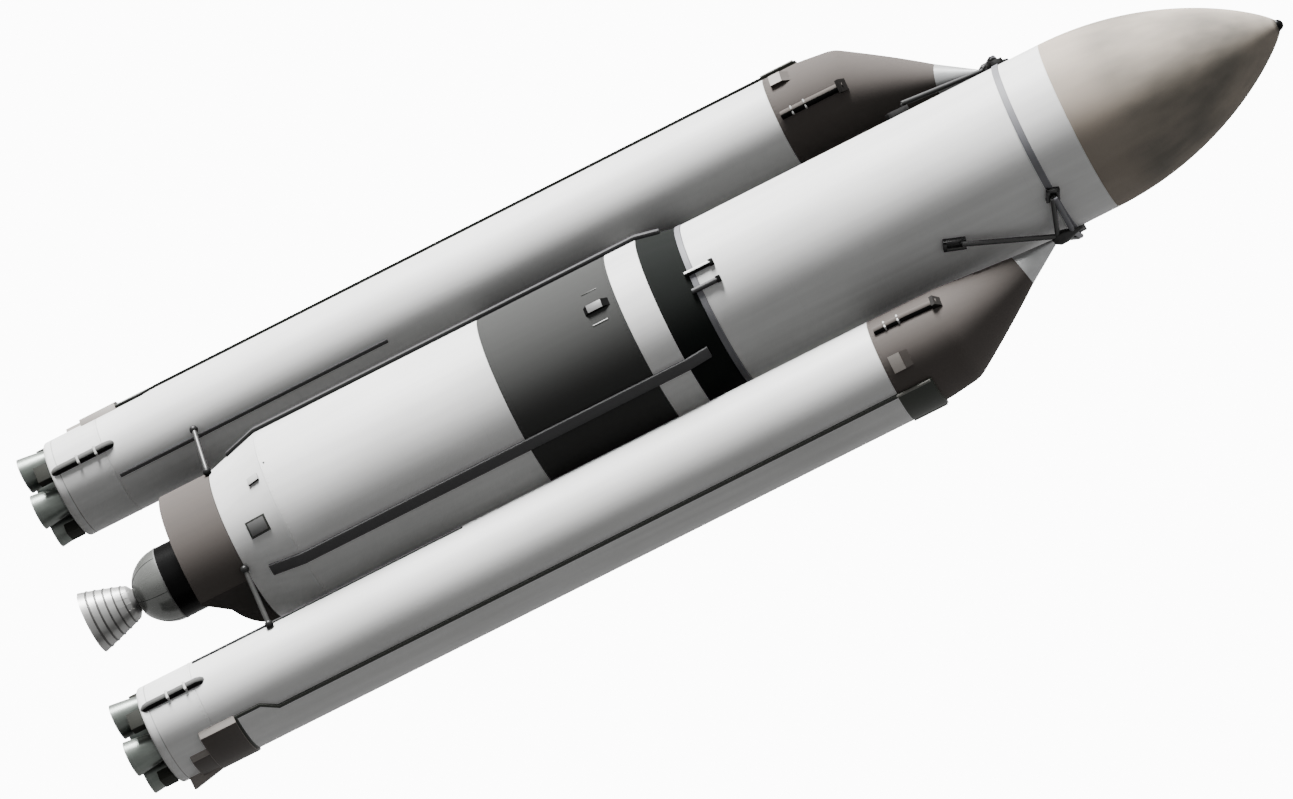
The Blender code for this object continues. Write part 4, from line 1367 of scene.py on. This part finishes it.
for letter, side in SIDES:
    prefix = f"booster_{letter}_"
    centre = (side * BOOSTER_X, 0.0)
    tank_low, tank_high = heights(prefix + "tank")
    profile = [(0.0, tank_high), (BOOSTER_RADIUS, tank_high), (BOOSTER_RADIUS, tank_low), (0.0, tank_low)]
    tank = turned(prefix + "tank_skin", eased(profile, EASE), [white_paint], 160, centre)
    put_on(tank, BODY, "white_paint", prefix + "tank")

    inner = BOOSTER_RADIUS - BAY_WALL
    rim = [
        (BOOSTER_RADIUS, bay_low + 0.010),
        (BOOSTER_RADIUS - 0.001, bay_low + 0.0055),
        (BOOSTER_RADIUS - 0.0035, bay_low + 0.002),
        (BOOSTER_RADIUS - 0.0065, bay_low),
        (inner + 0.002, bay_low + 0.0005),
        (inner, bay_low + 0.003),
    ]
    outer = [(0.0, bay_high), (BOOSTER_RADIUS - EASE, bay_high), (BOOSTER_RADIUS, bay_high - EASE)]
    profile = outer + rim + [(inner, BAY_CEILING_Z), (0.0, BAY_CEILING_Z)]
    rim_end = len(outer) + len(rim) - 1
    bay = turned(
        prefix + "bay_skin",
        profile,
        [bay_paint, leg_paint],
        160,
        centre,
        slot_of=lambda row: 0 if row < rim_end else 1,
    )
    put_on(bay, BODY, "white_paint", prefix + "tail_bay")

    nose_low, nose_high = heights(prefix + "nose")
    cone = between(SHOULDER, TIP_FOOT, 8)
    path = [(BOOSTER_RADIUS, 0.0, nose_low, 0.0), (BOOSTER_RADIUS, 0.0, NOSE_TAPER_Z, 0.0)] + cone
    path = rounded(path, 0.03)
    nose = lofted(prefix + "nose_skin", [leaning_circle(side, row) for row in path], [taupe_paint], 25.0)
    put_on(nose, BODY, "taupe_paint", prefix + "nose")
    rows = between(TIP_FOOT, APEX, 6)
    rows[0] = rows[0] + np.array((0.0, 0.0, 0.0004, 0.0))
    tip = lofted(prefix + "tip_skin", [leaning_circle(side, row) for row in rows], [silver_metal])
    put_on(tip, BODY, "silver_metal", prefix + "nose_tip")
print("booster bodies built, noses of", len(path), "rings")

# %% [markdown]
# ## The raised outer panels
#
# A long raised cover runs up the outer side of each booster. It is wide at its foot, then narrows,
# and dark lines follow both edges. The cover is a curved sheet built on the booster's own cylinder:
# rows at chosen heights, columns at chosen angles. The columns next to the edges take the line's
# paint and the row at the top takes the dark patch, with a pale bar along each of its sides.

# %% Build the panels
PANEL_DEPTH = 0.012
PANEL_WIDE = 43.0
PANEL_NARROW = 32.0
PANEL_STEP = (0.540, 0.600)
PANEL_LINE = 3.3
PATCH_LOW = 3.188
panel_paint = painted("panel white", *WHITE, seams=(0.3165, 0.1, 0.0012), seam_depth=0.12)
bar_paint = painted("patch bar grey", (0.15, 0.15, 0.135), (0.20, 0.20, 0.18), (0.35, 0.5))
patch_paint = painted("patch green black", (0.020, 0.024, 0.018), (0.030, 0.034, 0.026), (0.45, 0.6))
for letter, side in SIDES:
    node = f"booster_{letter}_outer_panel"
    low, high = heights(node)
    rows = [
        (low, PANEL_WIDE),
        (low + 0.010, PANEL_WIDE),
        (PANEL_STEP[0], PANEL_WIDE),
        (PANEL_STEP[1], PANEL_NARROW),
        (PATCH_LOW, PANEL_NARROW),
        (high, PANEL_NARROW),
    ]
    sections = []
    ease_angle = math.degrees(0.0015 / BOOSTER_RADIUS)
    for height, half in rows:
        angles = [-half, -half + ease_angle, -half + PANEL_LINE]
        steps = 20
        for i in range(1, steps):
            angles.append(-half + PANEL_LINE + (2 * half - 2 * PANEL_LINE) * i / steps)
        angles += [half - PANEL_LINE, half - ease_angle, half]
        top = BOOSTER_RADIUS + PANEL_DEPTH
        outer = []
        for i, angle in enumerate(angles):
            radius = top - 0.0012 if i in (0, len(angles) - 1) else top
            outer.append(at_angle(radius, mirrored_angle(side, angle), height, (side * BOOSTER_X, 0.0)))
        foot = BOOSTER_RADIUS - 0.0005
        inner = [
            at_angle(foot, mirrored_angle(side, angle), height, (side * BOOSTER_X, 0.0))
            for angle in (angles[-1], 0.0, angles[0])
        ]
        sections.append(outer + inner)
    count = len(sections[0])
    columns = len(angles)
    points = [point for section in sections for point in section]
    faces = [list(range(count)), list(range(len(points) - count, len(points)))]
    slots = [1, 2]
    for row in range(len(sections) - 1):
        for i in range(count):
            j = (i + 1) % count
            start = row * count
            faces.append([start + i, start + j, start + count + j, start + count + i])
            is_edge = row == 0 or i < 2 or i >= columns - 3
            is_patch = row == len(sections) - 2
            slots.append(2 if is_patch else 1 if is_edge else 0)
    paints = [panel_paint, line_paint, patch_paint]
    panel = piece_from(f"booster_{letter}_panel_skin", points, faces, paints, slots)
    put_on(panel, BODY, "white_paint", node)
    for sign in (-1, 1):
        angle = mirrored_angle(side, sign * (PANEL_NARROW - 1.2))
        path = []
        for height in (PATCH_LOW - 0.002, high - 0.006):
            path.append(at_angle(BOOSTER_RADIUS + PANEL_DEPTH, angle, height, (side * BOOSTER_X, 0.0)))
        edge_bar = tube(f"booster_{letter}_patch_bar_{sign + 1}", path, 0.0055, [bar_paint], 16)
        put_on(edge_bar, BODY, "white_paint")
print("panel faces:", len(faces))

# %% [markdown]
# ## Small pieces on the boosters
#
# A tail box stands below each cover. On the front side are a pipe on the tail bay, a rail on the
# nose, a small box and a thin duct. The tail boxes, the frames and the ducts keep their solids with
# eased edges, and the round pieces are swept again along paths that follow the body.

# %% Dress the boosters' fittings
def sloping_sides(centre):
    """Return a rule: slot 1 for faces that slope down to the sides of a body, else slot 0."""

    def rule(face):
        outward = Vector((face.center.x - centre[0], face.center.y - centre[1], 0.0)).normalized()
        return 1 if abs(face.normal.z) < 0.5 and face.normal.dot(outward) < 0.93 else 0

    return rule


for letter, side in SIDES:
    prefix = f"booster_{letter}_"
    centre = (side * BOOSTER_X, 0.0)
    front = mirrored_angle(side, -97.0)
    rail_angle = mirrored_angle(side, -109.0)
    # The tail box's sloping sides take the lighter tan, while its other faces are brown: painted light.
    box = refined(
        prefix + "tail_box_skin", prefix + "tail_box", 0.0018, [box_paint, painted_light_tan], sloping_sides(centre)
    )
    put_on(box, BODY, "taupe_paint", prefix + "tail_box")
    frame_skin = refined(prefix + "frame_skin", prefix + "thrust_frame", 0.0014, [leg_paint])
    put_on(frame_skin, BODY, "dark_paint", prefix + "thrust_frame")
    node = prefix + "inner_duct"
    put_on(refined(node + "_skin", node, 0.0012, [duct_paint]), BODY, "dark_steel", node)

    low, high = heights(prefix + "side_pipe")
    radius = 0.0178
    path = [
        at_angle(BOOSTER_RADIUS - 0.012, front, low + 0.002, centre),
        at_angle(BOOSTER_RADIUS - 0.003, front, low + 0.010, centre),
        at_angle(BOOSTER_RADIUS + 0.0003, front, low + 0.022, centre),
        at_angle(BOOSTER_RADIUS + 0.0003, front, high - 0.018, centre),
        at_angle(BOOSTER_RADIUS - 0.004, front, high - 0.006, centre),
        at_angle(BOOSTER_RADIUS - 0.012, front, high, centre),
    ]
    # The pipe's +X side is painted black: painted shade.
    pipe = tube(prefix + "pipe", path, radius, [pipe_paint, black_paint], 32)
    put_on(colour_faces(pipe, painted_shade_toward_x(0.45)), BODY, "dark_steel", prefix + "side_pipe")
    for number, height in enumerate((0.238, 0.313)):
        seat = (BOOSTER_RADIUS + 0.0075, front, height, centre)
        clamp = seated_block(f"{prefix}pipe_clamp_{number}", seat, (0.023, 0.039, 0.011), [clamp_metal], 0.004)
        put_on(clamp, BODY, "dark_steel")

    low, high = heights(prefix + "nose_rail")
    path = []
    for share in (0.0, 0.08, 0.5, 0.75, 1.0):
        height = low + (high - low) * share
        drop = max(0.0, height - NOSE_TAPER_Z) * 0.05
        path.append(at_angle(BOOSTER_RADIUS + 0.0025 - drop, rail_angle, height, centre))
    # The rail's +X side is painted black: painted shade.
    rail = tube(prefix + "rail", path, 0.0165, [taupe_paint, black_paint], 24)
    put_on(colour_faces(rail, painted_shade_toward_x(0.45)), BODY, "dark_steel", prefix + "nose_rail")
    for number, height in enumerate((3.258, 3.312)):
        seat = (BOOSTER_RADIUS + 0.006, rail_angle, height, centre)
        clamp = seated_block(f"{prefix}rail_clamp_{number}", seat, (0.025, 0.037, 0.008), [clamp_metal], 0.004)
        put_on(clamp, BODY, "dark_steel")
    rows = ((0.022, high - 0.022), (0.024, high - 0.008), (0.001, high + 0.014))
    wedge = ramp(prefix + "rail_end", centre, BOOSTER_RADIUS - 0.006, rail_angle, 0.046, rows, [rail_paint])
    put_on(wedge, BODY, "dark_steel")

    node = prefix + "nose_box"
    low, high = heights(node)
    angle = mirrored_angle(side, -63.0)
    foot = low + 0.010
    head = high + 0.008
    box_rows = ((0.017, foot), (0.017, head))
    # The nose box's outer face takes the lighter tan and its sloping sides the brown: painted light and shade.
    box = ramp(node + "_face", centre, BOOSTER_RADIUS, angle, 0.062, box_rows, [painted_light_tan, box_paint])
    put_on(colour_faces(box, sloping_sides(centre)), BODY, "taupe_paint", node)
    ramp_rows = ((0.0165, head + 0.0003), (0.0008, head + 0.030))
    slope = ramp(node + "_slope", centre, BOOSTER_RADIUS, angle, 0.062, ramp_rows, [box_paint])
    put_on(slope, BODY, "taupe_paint")
print("booster fittings dressed")

# %% [markdown]
# ## Struts
#
# Three pairs of struts reach from a pointed fitting on each booster's tip to the core, and a pair
# of short struts with ball ends holds each tail. Their ends come from the sizes of the pieces that
# they join, so nothing is placed by eye.

# %% Build the forward fittings and all struts
FITTING_LEAN = APEX[1] + 0.004
FITTING_ROWS = (
    (0.011, APEX[1], APEX[2] + 0.0004, 0.27),
    (0.026, FITTING_LEAN, APEX[2] + 0.022, 0.0),
    (0.026, FITTING_LEAN, APEX[2] + 0.050, 0.0),
    (0.012, FITTING_LEAN, APEX[2] + 0.090, 0.0),
    (0.003, FITTING_LEAN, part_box("booster_a_forward_fitting")[1][2], 0.0),
)
FORWARD_STRUT_RADIUS = 0.0100
AFT_STRUT_RADIUS = 0.0098
AFT_BALL_RADIUS = 0.0135
AFT_STRUT_Z = 0.690


def ball(name, centre, radius, materials):
    """Make a ball with a fine mesh."""
    work = bmesh.new()
    bmesh.ops.create_uvsphere(work, u_segments=32, v_segments=16, radius=radius)
    work.transform(Matrix.Translation(centre))
    piece = object_from(name, work, materials)
    piece.data.shade_smooth()
    return piece


for letter, side in SIDES:
    prefix = f"booster_{letter}_"
    rows = rounded(FITTING_ROWS, 0.006)
    fitting = lofted(prefix + "fitting_skin", [leaning_circle(side, row, 48) for row in rows], [dark_steel])
    put_on(fitting, BODY, "dark_steel", prefix + "forward_fitting")
    reach = UPPER_RADIUS + BRACKET_DEPTH + FORWARD_STRUT_RADIUS + 0.002
    for end, sign in (("front", -1), ("back", 1)):
        foot = at_angle(reach, mirrored_angle(side, sign * BRACKET_ANGLE), 0.0)
        for what, start_rise, end_z in (
            ("long", 0.048, long_bracket_z + 0.028),
            ("low", 0.020, RING_Z - 0.005),
            ("high", 0.082, RING_Z + 0.004),
        ):
            start = Vector((side * (BOOSTER_X - FITTING_LEAN), 0.0, APEX[2] + start_rise))
            finish = Vector((foot.x, foot.y, end_z))
            name = f"{prefix}{what}_strut_{end}"
            paint = slate_paint if what == "high" else strut_paint
            rod(name, start, finish, FORWARD_STRUT_RADIUS, [paint], 24, BODY, "dark_steel")
            inward = at_angle(reach - 0.014, mirrored_angle(side, sign * BRACKET_ANGLE), end_z)
            rod(name + "_end", finish, inward, 0.006, [dark_steel], 20, BODY, "dark_steel")
    for end, sign in (("front", -1), ("back", 1)):
        core_point = at_angle(SKIRT_RADIUS + AFT_BALL_RADIUS, mirrored_angle(side, sign * 45.0), AFT_STRUT_Z)
        own_angle = mirrored_angle(side, sign * 125.0)
        booster_point = at_angle(
            BOOSTER_RADIUS + AFT_BALL_RADIUS, own_angle, AFT_STRUT_Z, (side * BOOSTER_X, 0.0)
        )
        node = f"aft_strut_{letter}_{end}"
        strut = rod(node + "_tube", core_point, booster_point, AFT_STRUT_RADIUS, [strut_metal], 32)
        put_on(strut, BODY, "dark_steel", node)
        for number, point in enumerate((core_point, booster_point)):
            knob = ball(f"{node}_ball_{number}", point, AFT_BALL_RADIUS + 0.003, [dark_steel])
            put_on(knob, BODY, "dark_steel")
print("struts built")

# %% [markdown]
# ## Small marks on the core
#
# A square hatch with a bevelled border sits on the tail cone, with a small raised box and a round
# cap beside it. Two short rods cross the trim ring, thin lines stand beside the intertank's box, and
# light rings bound the black band.

# %% Add the core's small details
cone_low, cone_high = heights("core_tail_cone")
cone_slope = math.degrees(math.atan2(CORE_RADIUS - SKIRT_RADIUS, cone_high - cone_low))


def cone_radius(height):
    """Return the tail cone's radius at a height."""
    share = (height - cone_low) / (cone_high - cone_low)
    return SKIRT_RADIUS + (CORE_RADIUS - SKIRT_RADIUS) * share


HATCH_Z = 0.812
HATCH_ANGLE = -66.5
core_axis = (0.0, 0.0)
seat = (cone_radius(HATCH_Z), HATCH_ANGLE, HATCH_Z, core_axis)
border = seated_block("hatch_border", seat, (0.006, 0.068, 0.089), [line_paint], 0.001, cone_slope, (0.97, 0.98))
put_on(border, BODY, "white_paint")
seat = (cone_radius(HATCH_Z) + 0.001, HATCH_ANGLE, HATCH_Z, core_axis)
hatch = seated_block("hatch_cover", seat, (0.008, 0.052, 0.072), [hatch_paint], 0.0012, cone_slope)
put_on(hatch, BODY, "grey_paint")
seat = (cone_radius(0.868) + 0.002, -94.4, 0.868, core_axis)
# The box's +X side takes the dark rail paint: painted shade.
raised = seated_block("cone_box", seat, (0.016, 0.030, 0.047), [clamp_metal, rail_paint], 0.0015, cone_slope)
put_on(colour_faces(raised, painted_shade_toward_x(0.6)), BODY, "white_paint")
cap_foot = at_angle(CORE_RADIUS - 0.002, -101.0, 0.929)
cap_head = at_angle(CORE_RADIUS + 0.002, -101.0, 0.929)
rod("cone_cap", cap_foot, cap_head, 0.004, [dark_steel], 24, BODY, "dark_steel")

for name, angle, paint in (("dark_line", -105.6, line_paint), ("light_line", -82.8, clamp_metal)):
    seat = (CORE_RADIUS, angle, 2.3085, core_axis)
    line = seated_block("intertank_" + name, seat, (0.004, 0.004, 0.063), [paint], 0.0006)
    put_on(line, BODY, "grey_paint")

interstage_high = heights("core_interstage")[1]
# Each rod's +X side takes the darker of its two paints: painted shade.
rod_paints = (
    ("trim_rod_light", -87.4, [white_paint, black_paint]),
    ("trim_rod_grey", -75.2, [duct_paint, dark_steel]),
)
for name, angle, paints in rod_paints:
    start = at_angle(UPPER_RADIUS + 0.008, angle, interstage_high - 0.013)
    finish = at_angle(UPPER_RADIUS + 0.006, angle, 2.772)
    bar = rod(name, start, finish, 0.0105, paints, 24)
    put_on(colour_faces(bar, painted_shade_toward_x(0.2 if angle < -80 else 0.8)), BODY, "slate_paint")
    seat = (UPPER_RADIUS + 0.006, angle, 2.774, core_axis)
    end = seated_block(name + "_end", seat, (0.020, 0.024, 0.018), [black_paint], 0.0015)
    put_on(end, BODY, "dark_steel")

band_low, band_high = heights("core_engine_band")
for name, height in (("band_ring_low", band_low + 0.002), ("band_ring_high", band_high - 0.003)):
    profile = [
        (BAND_RADIUS - 0.001, height + 0.003),
        (BAND_RADIUS + 0.0015, height + 0.0022),
        (BAND_RADIUS + 0.0015, height - 0.0022),
        (BAND_RADIUS - 0.001, height - 0.003),
    ]
    put_on(turned(name, profile, [hatch_paint], 128), BODY, "dark_paint")
print("core details added")

# %% [markdown]
# ## Rows of rivets
#
# Rivets ring every joint between barrels. They repeat, so Geometry Nodes set them: a circle of
# points, and a small flattened ball on each. The radius, height, count and size are inputs, and one
# tree serves all the joints.


# %% Set rivets at the joints
def rivet_tree():
    """Small rivets on a circle at one height."""
    tree, source, target = new_tree(
        "rivet ring",
        {
            "Radius": 0.3,
            "Height": 1.0,
            "Centre X": 0.0,
            "Count": 96,
            "Size": 0.0016,
            "Material": None,
        },
    )
    get = source.outputs
    circle = tree.nodes.new("GeometryNodeMeshCircle")
    tree.links.new(get["Count"], circle.inputs["Vertices"])
    tree.links.new(get["Radius"], circle.inputs["Radius"])
    place = tree.nodes.new("ShaderNodeCombineXYZ")
    tree.links.new(get["Centre X"], place.inputs[0])
    tree.links.new(get["Height"], place.inputs[2])
    move = tree.nodes.new("GeometryNodeSetPosition")
    tree.links.new(circle.outputs[0], move.inputs["Geometry"])
    tree.links.new(place.outputs[0], move.inputs["Offset"])
    rivet = tree.nodes.new("GeometryNodeMeshUVSphere")
    rivet.inputs["Segments"].default_value = 8
    rivet.inputs["Rings"].default_value = 5
    tree.links.new(get["Size"], rivet.inputs["Radius"])
    copies = tree.nodes.new("GeometryNodeInstanceOnPoints")
    tree.links.new(move.outputs[0], copies.inputs["Points"])
    tree.links.new(rivet.outputs[0], copies.inputs["Instance"])
    close_tree(tree, source, target, copies.outputs[0])
    return tree


RIVETS = rivet_tree()
joint_offset = 0.009
upper_low, upper_high = heights("upper_section")
skirt_joint = skirt_high + joint_offset
rivet_rows = [
    ("cone", CORE_RADIUS, cone_high + joint_offset, 0.0, 120, white_paint),
    ("intertank_low", CORE_RADIUS, heights("core_intertank")[0] + joint_offset, 0.0, 120, grey_paint),
    ("intertank_high", CORE_RADIUS, heights("core_intertank")[1] - joint_offset, 0.0, 120, grey_paint),
    ("upper_low", UPPER_RADIUS - 0.0010, upper_low + joint_offset, 0.0, 108, white_paint),
    ("upper_high", UPPER_RADIUS - 0.0010, upper_high - joint_offset, 0.0, 108, white_paint),
    ("skirt_high", cone_radius(skirt_joint) - 0.0008, skirt_joint, 0.0, 96, white_paint),
]
for letter, side in SIDES:
    x = side * BOOSTER_X
    rivet_rows.append((f"booster_{letter}_bay", BOOSTER_RADIUS, bay_high - joint_offset, x, 72, white_paint))
    rivet_rows.append((f"booster_{letter}_nose", BOOSTER_RADIUS, nose_low + joint_offset, x, 72, taupe_paint))
for name, radius, height, x, count, paint in rivet_rows:
    row = grown(
        "rivets_" + name,
        RIVETS,
        {"Radius": radius, "Height": height, "Centre X": x, "Count": count, "Size": 0.0016, "Material": paint},
    )
    put_on(row, BODY, "white_paint")
print("rivet rows:", len(rivet_rows))

# %% [markdown]
# ## Camera, floor and light
#
# The picture was taken with a long lens, a little above the rocket, and rolled, so that the rocket
# lies across the frame. The camera's axes are worked out from the direction to the viewer and the
# roll. The floor is large and very pale, so that the rocket stands out against white from any side.
# A soft sun from the front left gives the strong modelling, and the world adds a low, even fill.

# %% Set up camera, floor and light
VIEW_AZIMUTH = 30.4
VIEW_ELEVATION = 7.2
ROLL = 26.7
TARGET = Vector((0.162, 0.0955, 2.289))
DISTANCE = 40.0
turn = math.radians(VIEW_AZIMUTH)
lift = math.radians(VIEW_ELEVATION)
roll = math.radians(ROLL)
back = Vector((math.sin(turn) * math.cos(lift), -math.cos(turn) * math.cos(lift), math.sin(lift)))
across = Vector((math.cos(turn), math.sin(turn), 0.0))
along = back.cross(across)
right = along * math.cos(roll) + across * math.sin(roll)
up = along * math.sin(roll) - across * math.cos(roll)
lens = bpy.data.cameras.new("camera")
lens.type = "PERSP"
lens.lens = 297.4
lens.sensor_width = 36.0
lens.clip_end = 1000.0
camera = bpy.data.objects.new("camera", lens)
columns = (right, up, back)
turned_axes = Matrix([[column[i] for column in columns] for i in range(3)]).to_4x4()
camera.matrix_world = Matrix.Translation(TARGET + back * DISTANCE) @ turned_axes
bpy.context.scene.collection.objects.link(camera)
bpy.context.scene.camera = camera

FLOOR_HALF = 400.0
BACKDROP = 12.0
WORLD_FILL = 0.28
WORLD_SHEEN = 0.7
floor_material = bpy.data.materials.new("pale floor")
floor_material.use_nodes = True
tree = floor_material.node_tree
shader = tree.nodes["Principled BSDF"]
shader.inputs["Roughness"].default_value = 0.9
shader.inputs["Base Color"].default_value = (0.6, 0.6, 0.6, 1.0)
glow = tree.nodes.new("ShaderNodeEmission")
path_kind = tree.nodes.new("ShaderNodeLightPath")
is_camera = path_kind.outputs["Is Camera Ray"]
is_glossy = path_kind.outputs["Is Glossy Ray"]
shown_glow = maths(tree, "MULTIPLY", is_camera, BACKDROP)
tree.links.new(maths(tree, "MULTIPLY_ADD", is_glossy, WORLD_SHEEN, shown_glow), glow.inputs["Strength"])
mixed = tree.nodes.new("ShaderNodeMixShader")
tree.links.new(maths(tree, "MAXIMUM", is_camera, is_glossy), mixed.inputs[0])
tree.links.new(shader.outputs[0], mixed.inputs[1])
tree.links.new(glow.outputs[0], mixed.inputs[2])
tree.links.new(mixed.outputs[0], tree.nodes["Material Output"].inputs["Surface"])
corners = [(-1, -1), (1, -1), (1, 1), (-1, 1)]
floor_points = [(FLOOR_HALF * x, FLOOR_HALF * y, -0.0005) for x, y in corners]
floor = piece_from("floor", floor_points, [(0, 1, 2, 3)], [floor_material])

world = bpy.data.worlds.new("studio")
world.use_nodes = True
sky = world.node_tree
background = sky.nodes["Background"]
seen = sky.nodes.new("ShaderNodeLightPath")
strength = maths(sky, "MULTIPLY_ADD", seen.outputs["Is Glossy Ray"], WORLD_SHEEN, WORLD_FILL)
strength = maths(sky, "MULTIPLY_ADD", seen.outputs["Is Camera Ray"], BACKDROP, strength)
sky.links.new(strength, background.inputs["Strength"])
background.inputs["Color"].default_value = (1.0, 1.0, 1.0, 1.0)
bpy.context.scene.world = world

key = bpy.data.lights.new("key", "SUN")
key.energy = 22.5
key.angle = math.radians(26.0)
key.cycles.max_bounces = 0
key_object = bpy.data.objects.new("key", key)
key_turn = math.radians(-148.5)
key_lift = math.radians(4.0)
toward = Vector(
    (math.cos(key_turn) * math.cos(key_lift), math.sin(key_turn) * math.cos(key_lift), math.sin(key_lift))
)
key_object.rotation_euler = toward.to_track_quat("Z", "Y").to_euler()
bpy.context.scene.collection.objects.link(key_object)
print("camera at", [round(v, 2) for v in camera.matrix_world.translation])
